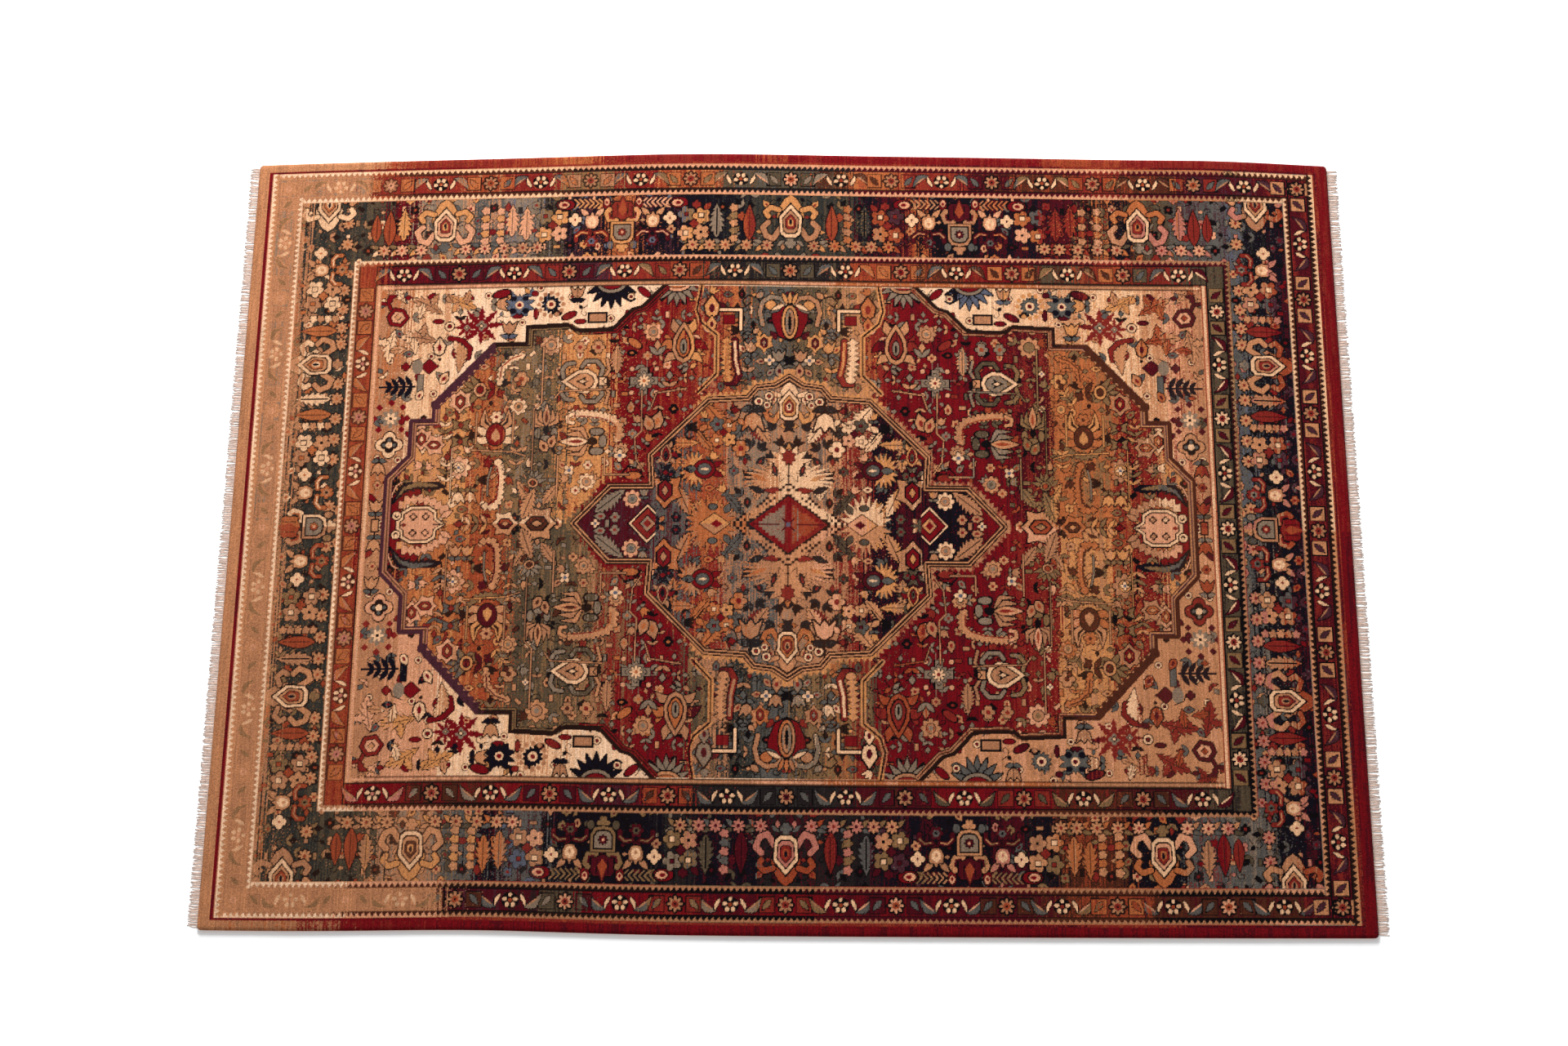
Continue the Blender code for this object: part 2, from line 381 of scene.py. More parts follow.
# Motifs in rows, later ones on top: ink, the width of its dark rim in millimetres where it has one, shape and
# the shape's own numbers. Points are across,up from the motif's middle, and up is towards its crown
MOTIFS = {
    "house": """main 2.5 shape 0,64 14,54 27,30 30,14 22,-10 0,-10;
      main 2.5 stroke 11 26,28 44,34 56,22 50,12;
      second 2.5 stroke 12 24,-18 38,-40 54,-34 62,-14 50,-2; leaf 2 rosette 0 -50 13 5 0.4;
      line house_wall 1.12; cream house_wall 1; line house_wall 0.78 1; second house_wall 0.68 1;
      accent 2 house_wall 0.44 1; main house_wall 0.26 1; navy ellipse 0 0 3 7""",
    "bowl": """main 2 rosette 0 -56 14 5 0.45; leaf 2 ellipse 26 -52 7 9;
      accent 2.5 shape 0,64 6,50 18,50 24,42 22,14 0,8; rust shape 0,58 4,46 10,30 0,16;
      line stroke 2 11,18 12,46; main 2.5 stroke 11 14,6 30,8 36,24 30,32;
      accent stroke 4 18,10 28,12 30,24; main 2.5 shape 26,2 26,-32 18,-46 0,-50 0,2;
      line shape 21,-3 21,-30 14,-41 0,-44 0,-3; grey shape 18,-6 18,-28 12,-38 0,-40 0,-6;
      line rosette 0 -22 11 8 0.3; accent rosette 0 -22 9 8 0.5; peach ellipse 0 -22 3 3""",
    "vase": """accent 2 stroke 9 8,-24 24,-22 34,-30 34,-42; main stroke 3 10,-24 24,-23 34,-32;
      second 2 petal 12 8,14 26,34; second 2.5 shape 0,25 5,15 13,16 15,0 9,-12 0,-14;
      cream shape 0,15 9,8 10,0 6,-8 0,-10; second ellipse 0 0 3 4; accent 2 rosette 0 -44 15 6 0.4;
      leaf rosette 0 -44 8 6 0.3; line ellipse 0 -44 3 3; line stroke 2 0,-30 0,-14""",
    "cluster": """leaf 2.5 rosette 17 22 20 5 0.4; main 2.5 rosette -17 18 20 5 0.4;
      second 2.5 rosette -16 -20 19 5 0.4; main 2.5 rosette 18 -22 19 5 0.4;
      accent 2 rosette 0 0 10 4 0.4; cream 2 box -16 20 5 5; cream 2 box 18 -22 5 5;
      accent 1.5 box 17 22 4 4; line box -16 -20 3 3""",
    "lancet": """accent 2.5 petal 26 0,-42 0,42; line stroke 2 0,-30 0,30""",
    "oak_leaf": """main 2.5 leaf 36 13 0.5 0,-38 0,42; line stroke 2.4 0,-32 0,30""",
    "grey_leaf": """leaf 2.5 leaf 36 13 0.5 0,-38 0,42; line stroke 2.4 0,-32 0,30""",
    "chain": ";".join(
        f"{('second', 'main')[step % 2]} 2 rosette 0 {18 * step - 36} 10 5 0.35" for step in range(5)),
    "diamond": """cream 2.5 rosette 0 0 15 4 0.35; accent diamond 0 0 3 4""",
    "pale_rosette": """line ellipse 0 0 15 15; second rosette 0 0 14 8 0.5; accent ellipse 0 0 3.5 3.5""",
    "garland_leaf": """main 2 petal 10 -14,4 4,-12; leaf 2 petal 9 -12,8 10,14""",
    "chevrons": ";".join(f"main stroke 3.4 {x - 7},10 {x + 3},0 {x - 7},-10" for x in range(-36, 37, 11)),
    "almond": """red 2.5 ellipse 0 0 20 12; peach 2 ellipse 4 0 12 8; red ellipse 2 0 6 4""",
    "minor_blossom": """leaf 2 leaf 15 6 0.35 30,14 50,8 64,-14; second petal 4 36,10 60,-8;
      cream 2 petal 7 21,-12 29,2 31,12; line ellipse 0 0 18 16; cream ellipse 6 9 4.2 5;
      cream ellipse 11 -2 5 3.8; cream ellipse 0 -11 3.6 4.2; accent ellipse 0 0 4 4""",
    "minor_rosette": """line box 38 0 17 17; main box 38 0 15 15; leaf 1.8 leaf 13 7 0.4 30,-10 47,10;
      line rosette 0 0 20 8 0.2; second rosette 0 0 16 8 0.6; accent rosette 0 0 8 8 0.3;
      line ellipse 0 0 2.5 2.5""",
    "lily": """main 2.5 petal 18 2,24 20,40 24,60; accent 2.5 petal 20 14,-8 34,2 54,-12;
      main 2.5 petal 17 8,-26 28,-26 42,-40; main 2.5 shape 0,52 12,34 22,14 24,-12 14,-34 0,-42;
      line shape 0,40 9,26 16,10 18,-10 10,-27 0,-33; accent shape 0,35 7,22 13,8 15,-9 8,-23 0,-29;
      line ellipse 0 -4 9 19; leaf ellipse 0 -4 7 16; line ellipse 0 -6 3 9""",
    "calyx": """leaf 2.4 comb 17 10 0.6 0,-50 28,-42 44,-18; second 2.2 petal 17 0,-8 30,-20 46,-10;
      second 2.2 petal 18 0,-6 28,2 50,12; main 2.2 petal 17 4,4 26,22 26,52;
      line petal 5 10,10 24,24 25,44; second 2.2 rosette 0 34 14 6 0.4; accent ellipse 0 34 4 4;
      accent 2.4 ellipse 0 -6 20 24; main shape 0,8 8,-4 10,-14 0,-22""",
    "daisy": """second 2 rosette 0 0 21 8 0.3; main 1.5 ellipse 0 0 10 10; leaf ellipse 0 0 5 5""",
    "star": """leaf stroke 2 -44,6 44,6; leaf stroke 2 6,-44 6,44; peach 1.5 ellipse 27 27 5 5;
      peach 1.5 ellipse 27 -27 5 5; grey 2.2 box 0 0 8 30; grey 2.2 box 0 0 30 8;
      grey 2.2 rosette 0 0 22 8 0.4; line rosette 0 0 16 8 0.4; cream rosette 0 0 14 8 0.6;
      accent ellipse 0 0 4 4""",
    "urn": """leaf 2.4 stroke 8 8,-38 30,-44 46,-30 46,-6 34,2;
      leaf 2.4 stroke 8 10,42 26,46 40,36 42,20; main 2.2 stroke 6 6,-46 26,-58 50,-52;
      second 2.4 box 0 -44 9 8; cream 2.6 shape 0,46 12,30 25,10 27,-10 16,-28 0,-34;
      line shape 0,36 9,23 19,7 20,-9 12,-22 0,-27; main shape 0,32 7,20 17,6 18,-8 10,-20 0,-25;
      line shape 0,16 5,4 12,-8 4,-6 0,-14; cream diamond 0 0 4 7""",
    "comb_leaf": """second 2.2 comb 21 10 0.55 -50,-34 -58,-22 -56,-2 -42,14 -14,22 14,26 52,26;
      second 2.2 stroke 7 44,27 58,20 56,8 44,6;
      accent stroke 2.4 -50,-26 -50,-4 -38,9 -12,17 14,20 44,22""",
    "shield": """second 2.5 shape 0,38 12,25 30,28 25,8 32,-10 13,-18 0,-34;
      line shape 0,26 15,14 15,-8 0,-22; accent shape 0,22 12,12 12,-7 0,-18; main 2 diamond 0 2 6 10""",
    "spiky": """accent leaf 17 12 0.5 0,6 0,48; accent leaf 17 12 0.5 4,4 35,36;
      accent leaf 17 12 0.5 6,0 50,2; accent leaf 17 12 0.5 4,-4 34,-35;
      accent leaf 15 12 0.5 0,-6 0,-46; accent ellipse 0 0 17 17; grey rosette 0 0 12 4 0.4;
      line rosette 0 0 6 4 0.4; cream ellipse 0 0 3 3""",
    "aster": """leaf 2.5 burst 0 0 34 30 9 0.42; navy ellipse 13 15 7 6; navy ellipse 14 -14 8 7;
      cream ellipse 0 0 9 9; accent ellipse 0 0 5 5; accent 1.5 ellipse 34 26 7 6""",
    "sunflower": "".join(f"main ellipse {middle} 5 5;" for middle in circle_of(12, 27)) + """
      leaf 2 burst 0 0 21 20 12 0.3; cream 1.5 ellipse 0 0 10 10; accent ellipse 0 0 5 5""",
    "fir": """navy stroke 5 0,-36 0,40; navy petal 12 0,-30 27,-14; navy petal 12 0,-16 26,2;
      navy petal 11 0,-1 21,17; navy petal 10 0,14 15,30; leaf 1.8 box 0 -48 27 6""",
    "quatrefoil": """second 2.8 rosette 0 0 29 4 0.35; line rosette 0 0 19 4 0.3; leaf ellipse 11 0 4 4;
      leaf ellipse 0 11 4 4; cream ellipse 0 0 7 7""",
    "pomegranate": """accent 2.2 stroke 7 14,14 24,34 46,38 56,56;
      accent 2.2 leaf 15 9 0.4 26,34 20,52 4,58;
      accent 2.5 shape -28,-2 -10,-25 18,-20 27,2 10,24 -14,20;
      peach 1.8 shape -18,-2 -7,-15 11,-12 16,1 6,14 -9,12; main 1.5 diamond 0 0 8 8""",
    "fan": """leaf 2.5 petal 15 0,0 0,56; leaf 2.5 petal 14 0,0 20,52; leaf 2.5 petal 14 0,0 37,40;
      leaf 2.5 petal 13 0,0 50,22; second 2.5 ellipse 0 0 31 22; accent 2 ellipse 0 0 22 14""",
    "trumpet": """main 2.2 petal 9 6,-4 16,10 14,34; main 2.2 petal 8 4,-10 26,2 26,30;
      second 2.2 petal 17 0,-10 0,46; accent petal 7 0,-2 0,30; line 1 ellipse 0 -20 7 9;
      leaf 2 ellipse 20 -28 7 13; leaf 2 ellipse 0 -40 12 7""",
    "serrated": """main 2.5 leaf 34 9 0.5 0,-36 0,38; line stroke 2 0,-30 0,26""",
    "little_rose": """main 2 rosette 0 0 12 5 0.4; accent ellipse 0 0 4 4""",
    "pinwheel": """cream 2.5 rosette 0 0 12 4 0.6; blue ellipse 0 0 4 4""",
    "bean": """accent 1.5 ellipse 0 0 13 6""",
    "ringlet": """cream 2 ellipse 0 0 8 8; accent 1.5 ellipse 0 0 3 3""",
    "tulip": """main 2 shape 0,-8 8,-3 13,14 5,7 0,14; leaf 1.5 petal 7 0,-14 14,-10;
      line stroke 2 0,-8 0,-20""",
    "sprig": """line stroke 2 0,-16 0,10; main 1.8 petal 7 0,-10 14,-2; leaf 1.8 diamond 0 10 6 8""",
    "bow_tie": """leaf 2 shape 0,-3 16,-10 12,0 16,10 0,3; accent 1.5 diamond 0 0 5 6""",
    "tendril": """line stroke 2.2 -18,-8 -8,6 4,9 12,1 7,-7 0,-2; main 1.5 petal 8 -8,6 -18,14""",
    "leaf_pair": """leaf 1.8 petal 9 0,-12 15,4; main 1.8 diamond 0 6 6 10""",
    "bud": """main 2 shape 0,14 8,2 6,-8 0,-12; accent ellipse 0 -1 3 5""",
    "crumb": """main 2 box 0 0 8 4""",
    "spray": """line stroke 2.4 0,-34 0,34; main 1.8 petal 8 0,-24 22,-10; leaf 1.8 petal 8 0,-6 22,8;
      main 1.8 petal 8 0,12 18,26; accent 2 diamond 0 36 7 10""",
    "blade": """second 2.2 comb 17 10 0.65 16,-48 -6,-50 -16,-34 -18,10 -10,40;
      accent stroke 3 6,-46 -10,-34 -13,10 -8,32; line stroke 6 8,-28 8,10 2,34;
      grey stroke 3 8,-26 8,10 3,30""",
    "feather": """second 2.4 comb 17 11 0.55 -40,10 -12,10 14,-3 28,-34;
      accent stroke 3 -34,12 -11,11 13,0 25,-26""",
    "cloud_leaf": """second 2.6 leaf 46 17 0.6 -46,-24 -4,-6 44,24;
      main 2.6 leaf 28 13 0.55 -14,-10 -24,38; second 2.6 leaf 26 12 0.55 10,-4 28,-38;
      line stroke 2.2 -36,-20 -4,-6 32,16; line stroke 2 -14,-8 -22,24""",
    "curled_leaf": """accent 2 stroke 10 -22,-2 -26,20 -8,38 20,44;
      main 2 leaf 30 10 0.45 10,38 -8,8 -2,-36""",
    "vine_flower": """accent 2 diamond 0 0 19 17; grey ellipse 26 0 12 17;
      line stroke 2.4 18,20 38,12 42,0; accent 2 rosette 52 0 9 4 0.3; line ellipse -22 16 4 4""",
    "dotted_rosette": "".join(f"accent diamond {middle} 7 7;" for middle in circle_of(8, 31)) + """
      grey rosette 0 0 19 8 0.4; cream rosette 0 0 12 6 0.6; line ellipse 0 0 3 3""",
    "thistle": """leaf 2 petal 11 0,0 0,40; leaf 2 petal 11 0,0 18,36; leaf 2 petal 11 0,0 32,22;
      main 2 ellipse 0 0 14 12; accent 2 ellipse 0 0 7 6; line stroke 2.4 0,-12 0,-30;
      accent 2 petal 9 0,-28 20,-16""",
    "big_leaf": """main 2.5 burst 0 6 66 56 21 0.4; main stroke 10 0,-40 0,-62;
      second 2 diamond 0 -2 23 32; accent diamond 0 -6 9 13; leaf 2 petal 13 24,-24 44,-34;
      leaf 1.8 ellipse 37 2 6 9""",
    "crown": """main 2.4 burst 0 -14 110 46 25 0.44; main 2.4 burst 0 22 52 42 13 0.46;
      second leaf 13 9 0.5 46,-16 84,-2; leaf 2 leaf 12 9 0.5 26,-6 34,20; accent petal 5 28,0 33,16;
      line stroke 2.6 0,-46 0,30; line stroke 2.2 0,-36 30,-36; accent 2 leaf 15 9 0.45 14,-38 54,-38;
      leaf 2 petal 11 54,-42 84,-30; accent 2 burst 0 36 15 18 8 0.35""",
    "palmette": """second 2.2 burst 0 18 40 34 17 0.42; accent 2 petal 12 6,-20 16,-44;
      accent 2.5 ellipse 0 -4 20 22; line ellipse 0 -4 14 16; leaf ellipse 0 -4 12 14;
      cream petal 5 0,-14 0,6; leaf 2 petal 14 0,14 0,40""",
    "end_palmette": """red 2.5 shape 0,64 62,62 88,40 90,6 70,0 54,30 34,42 0,44;
      peach 2 stroke 3 0,66 66,64 88,54 105,28 104,-10 94,-40;
      navy 2.2 leaf 31 12 0.5 84,-52 92,10 82,40 48,60; leaf leaf 14 12 0.5 86,-36 91,10 80,38 58,54;
      second 2.2 comb 24 14 0.75 40,44 54,28 58,4 52,-22 34,-50; second 2.2 leaf 14 8 0.4 16,-46 30,-70;
      cream 3 octagon 1; line octagon 0.88; peach octagon 0.82; line rosette 18 14 9 4 0.4;
      line rosette 18 -13 9 4 0.4; second rosette 18 14 5 4 0.4; second rosette 18 -13 5 4 0.4;
      accent diamond 0 34 5 7; line stroke 2 0,-30 0,-52; cream 2.5 ellipse 21 50 9 9;
      line ellipse 21 50 5 5; cream ellipse 23 49 3 3""",
    "panel_lily": """red 2.2 shape 0,-52 24,-40 38,-6 40,22 22,30 0,34;
      main 2.4 stroke 9 6,30 20,46 42,50 60,38 66,14 60,-14; second 2 ellipse 42 30 12 10;
      leaf 2 petal 12 16,30 44,12; second 2.5 ellipse 0 -8 17 38; line ellipse 0 -8 12 32;
      main ellipse 0 -8 10 29; line leaf 11 8 0.5 0,-32 0,16; second 2.2 petal 9 0,34 0,62;
      second 2.2 petal 8 6,34 17,60; cream 2 petal 8 12,32 42,18""",
    "upright_comb": """accent 2.2 stroke 13 -14,50 -16,4 -24,-30 -14,-46 2,-46;
      main stroke 6 -14,46 -16,4 -23,-26; second 2.2 comb 27 12 0.75 4,54 6,8 0,-34""",
    "panel_hook": """cream 3 stroke 6 26,22 -18,22 -18,-22; red 2 box 8 0 12 10""",
    "pendant_diamond": """cream 3 diamond 0 0 40 42; accent 3 diamond 0 0 32 33;
      main 2 diamond 0 0 16 17; accent diamond 0 0 9 10""",
}
# Motifs whose two sides differ
ONE_SIDED = (
    "upright_comb", "pomegranate", "tendril", "comb_leaf", "feather", "blade", "cluster", "cloud_leaf",
    "curled_leaf", "vine_flower", "dotted_rosette", "panel_hook",
)


def read_motif(text):
    """A motif's rows as ink, rim, shape and the shape's numbers."""
    rows = []
    for row in text.split(";"):
        ink, *words = row.split()
        rim = 0.0 if words[0] in SHAPES else float(words.pop(0))
        rows.append((INKS.index(ink), rim, SHAPES[words[0]], numbers(" ".join(words[1:]))))
    return rows


def placed(text):
    """Motifs with their middles, and with their turns in degrees and sizes where these aren't 0 and 1."""
    for row in text.split(","):
        name, x, y, *rest = row.split()
        turn, size = [float(word) for word in rest] + [0.0, 1.0][len(rest):]
        yield name, float(x), float(y), turn, size


MOTIF_REACH = 95.0


class Quarter:
    """A quarter of the pattern, from the rug's middle to one corner, as the ink and place of each cell."""

    def __init__(self):
        self.x = (np.arange(KNOTS_LONG) + 0.5) * HALF_LENGTH / KNOTS_LONG
        self.y = (np.arange(KNOTS_WIDE) + 0.5) * HALF_WIDTH / KNOTS_WIDE
        self.ink = np.zeros(QUARTER, np.uint8)
        self.place = np.zeros(QUARTER, np.uint8)

    def window(self, x, y, reach):
        """The cells within reach of a point, as slices and as their places from that point."""
        columns = slice(*np.searchsorted(self.x, (x - reach, x + reach)))
        rows = slice(*np.searchsorted(self.y, (y - reach, y + reach)))
        across, up = np.meshgrid(self.x[columns] - x, self.y[rows] - y)
        return (rows, columns), across, up

    def stamp(self, name, x, y, turn=0.0, size=1.0, *, inside, twin=True, dye=None):
        """Draw a motif with its middle at x, y. A twin motif has the same shapes on both sides.

        dye is an ink that takes the place of the motif's main one.
        """
        part, across, up = self.window(x, y, MOTIF_REACH * size)
        swing = math.radians(turn)
        u = (across * math.cos(swing) + up * math.sin(swing)) / size
        v = (up * math.cos(swing) - across * math.sin(swing)) / size
        if twin:
            u = np.abs(u)
        cells = self.ink[part]
        allowed = self.place[part] == PLACE[inside]
        for ink, rim, form, sizes in read_motif(MOTIFS[name]):
            gap = form(u, v, *sizes)
            if rim:
                cells[(gap < rim) & allowed] = LINE
            cells[(gap < 0.0) & allowed] = dye if dye and ink == MAIN else ink

    def stamp_all(self, place):
        for name, x, y, turn, size in placed(FIELD_PLACES[place]):
            self.stamp(name, x, y, turn, size, inside=place, twin=name not in ONE_SIDED)

    def fill(self, place, points):
        """Turn the cells inside an outline into another place."""
        across, up = np.meshgrid(self.x, self.y)
        chosen = shape(across, up, *points) < 0.0
        chosen &= self.place >= PLACE["field"]
        self.place[chosen] = PLACE[place]
        self.ink[chosen] = GROUND

    def line(self, place, ink, width, points, teeth=0.0, pitch=1.0):
        across, up = np.meshgrid(self.x, self.y)
        gap, along, length = near_path(across, up, points)
        reach = width / 2 + teeth * zigzag(along / pitch)
        chosen = (gap < reach) & (self.place >= PLACE["field"])
        self.ink[chosen] = ink
        self.place[chosen] = PLACE[place]



def lay_bands(quarter):
    """The straight bands of the border, mitred at the corner, with the locking teeth of each guard."""
    from_end = HALF_LENGTH - quarter.x
    from_side = HALF_WIDTH - quarter.y
    end_band = np.searchsorted([end for name, end, side in BANDS], from_end, side="right") - 1
    side_band = np.searchsorted([side for name, end, side in BANDS], from_side, side="right") - 1
    quarter.place[:] = np.minimum(end_band[None, :], side_band[:, None])
    on_end = end_band[None, :] <= side_band[:, None]
    depth = np.where(on_end, from_end[None, :], from_side[:, None])
    along = np.where(on_end, quarter.y[:, None], quarter.x[None, :])

    def start_of(number):
        return np.where(on_end, BANDS[number][1], BANDS[number][2])

    for name, outwards in GUARDS:
        number = PLACE[name]
        share = (depth - start_of(number)) / (start_of(number + 1) - start_of(number))
        here = quarter.place == number
        reach = share if outwards else 1.0 - share
        quarter.ink[here] = LINE
        quarter.ink[here & (reach < TOOTH_FOOT + TOOTH_HEIGHT * zigzag(along / TOOTH_PITCH))] = MAIN
        quarter.ink[here & (reach < GUARD_EDGE)] = SECOND
    for name in ("outer_minor", "inner_minor"):
        number = PLACE[name]
        to_edge = np.minimum(depth - start_of(number), start_of(number + 1) - depth)
        quarter.ink[(quarter.place == number) & (to_edge < MINOR_EDGE)] = LINE
    inner_edge = start_of(PLACE["field"]) - depth
    dark = (inner_edge < STRIPE_PALE[0]) | (inner_edge > STRIPE_PALE[1])
    quarter.ink[(quarter.place == PLACE["stripe"]) & dark] = LINE


MINOR_ROWS = (
    # place, turn, distance of the row from the rug's middle line, pitch of two motifs, stop
    ("outer_minor", 0.0, HALF_WIDTH - 61.0, 225.0, 1130.0),
    ("inner_minor", 0.0, HALF_WIDTH - 277.0, 245.0, 880.0),
    ("outer_minor", -90.0, HALF_LENGTH - 70.0, 263.0, 800.0),
    ("inner_minor", -90.0, HALF_LENGTH - 262.0, 245.0, 560.0),
)


def minor_borders(quarter):
    for place, turn, away, pitch, stop in MINOR_ROWS:
        for step, along in enumerate(np.arange(0.0, stop, pitch / 2)):
            name = "minor_blossom" if step % 2 else "minor_rosette"
            x, y = (away, along) if turn else (along, away)
            quarter.stamp(name, x, y, turn, inside=place)


# The main border along the sides and along the ends: how far along, and how far outwards from its middle
SIDE_BORDER = """
    chevrons 300 52, chevrons 452 52 180, almond 250 50, almond 504 50, almond 340 52 90 0.7,
    almond 412 52 90 0.7, house 0 6, house 772 6, bowl 376 4, lancet 92 4, chain 127 2, grey_leaf 165 6,
    cluster 216 0, diamond 270 14, vase 308 6, vase 444 6, diamond 482 14, cluster 532 2,
    oak_leaf 590 6, oak_leaf 622 14 0 0.95, chain 648 4 0 0.95, chain 682 4, oak_leaf 864 10 0 0.95,
    lancet 896 4, lancet 926 4 0 0.8"""
END_BORDER = """
    bowl 0 6, vase 76 6, diamond 116 12, cluster 172 0, chain 226 2 0 0.9, lancet 252 4 0 0.95,
    oak_leaf 288 4 0 0.95, house 368 6 0 0.95, lancet 446 4 0 0.95, chain 474 2 0 0.9, cluster 528 0,
    vase 590 6, diamond 630 12"""
SIDE_PALE_ROSETTES = (52, 98, 145, 180, 218, 564, 597, 638, 681, 724, 823, 866, 906)
END_PALE_ROSETTES = (44, 150, 196, 242, 288, 322, 414, 452, 496, 540, 650, 700)
SIDE_MIDDLE = HALF_WIDTH - 168.0
END_MIDDLE = HALF_LENGTH - 165.0
SIDE_PALE_ROW = SIDE_MIDDLE - 50.0
END_PALE_ROW = END_MIDDLE - 46.0
GARLAND_SLIP = 22.0
GARLAND_ROW = SIDE_MIDDLE - 52.0
CORNER_HOUSE_Y = HALF_WIDTH - 104.0
BORDER_TWINS = ("house", "bowl", "vase")


def main_border(quarter):
    scatter_fillers(quarter, "main")
    for x in SIDE_PALE_ROSETTES:
        quarter.stamp("garland_leaf", x + GARLAND_SLIP, GARLAND_ROW, inside="main", twin=False)
        quarter.stamp("pale_rosette", x, SIDE_PALE_ROW, inside="main")
    for y in END_PALE_ROSETTES:
        quarter.stamp("pale_rosette", END_PALE_ROW, y, inside="main")
    for name, along, out, turn, size in placed(SIDE_BORDER):
        twin = name in BORDER_TWINS
        quarter.stamp(name, along, SIDE_MIDDLE + out, turn, size, inside="main", twin=twin)
    for name, along, out, turn, size in placed(END_BORDER):
        twin = name in BORDER_TWINS
        quarter.stamp(name, END_MIDDLE + out, along, turn - 90.0, size, inside="main", twin=twin)
    quarter.stamp("house", END_MIDDLE, CORNER_HOUSE_Y, 180.0, inside="main")


# The outlines inside the border, as points x,y in millimetres from the rug's middle
SPANDREL_EDGE = numbers("0,0 905,0 905,538 0,538")
FIELD_EDGE = numbers("870,0 870,106 823,156 823,234 774,234 774,274 650,407 578,407 578,446 490,450 470,436"
                     " 390,438 348,482 325,489 280,536")
FIELD_LINE = tuple((x - 8.0, y - 5.0) for x, y in FIELD_EDGE)
TOOTHED_STRETCH = numbers("770,270 708,336 647,401")
PANEL_EDGE = numbers("195,536 205,481 195,451 160,422 160,333 200,292")
MEDALLION_EDGE = numbers("0,328 30,308 70,303 90,279 175,274 300,151 295,82 385,82 462,0")
MEDALLION_TEETH = tuple((x + 5.0, y + 5.0) for x, y in MEDALLION_EDGE)
FIELD_TOP = (0.0, 536.0)
PANEL_FOOT = (0.0, 250.0)
MIDDLE = (0.0, 0.0)
PENDANT_EDGE = numbers("296,84 385,84 462,0 285,0 285,84")
VINES = (
    "322,296 320,205 335,190 330,140 308,108", "540,398 540,270 556,256 556,120", "390,300 500,296 512,280",
    "398,150 398,108 345,108", "225,300 290,290 300,260", "500,150 500,60", "570,150 600,160 690,165",
    "600,250 600,180", "680,250 680,180", "730,60 730,170",
)
VINE_LINES = ((LINE, 6.0), (MAIN, 2.6))
RIM_LINES = {
    # ink, width, path, and where it has teeth, how far they stand out and their pitch
    "field": ((LINE, 13.0, FIELD_LINE), (GROUND, 9.0, FIELD_LINE), (ACCENT, 3.0, FIELD_LINE),
              (LINE, 6.0, TOOTHED_STRETCH, 9.0, 17.0), (LINE, 8.0, FIELD_EDGE)),
    "panel": ((GROUND, 12.0, PANEL_EDGE), (LINE, 4.0, PANEL_EDGE)),
    "medallion": ((GROUND, 8.0, MEDALLION_TEETH, 9.0, 12.5), (LINE, 15.0, MEDALLION_EDGE),
                  (MAIN, 10.0, MEDALLION_EDGE), (LINE, 4.0, MEDALLION_EDGE)),
}

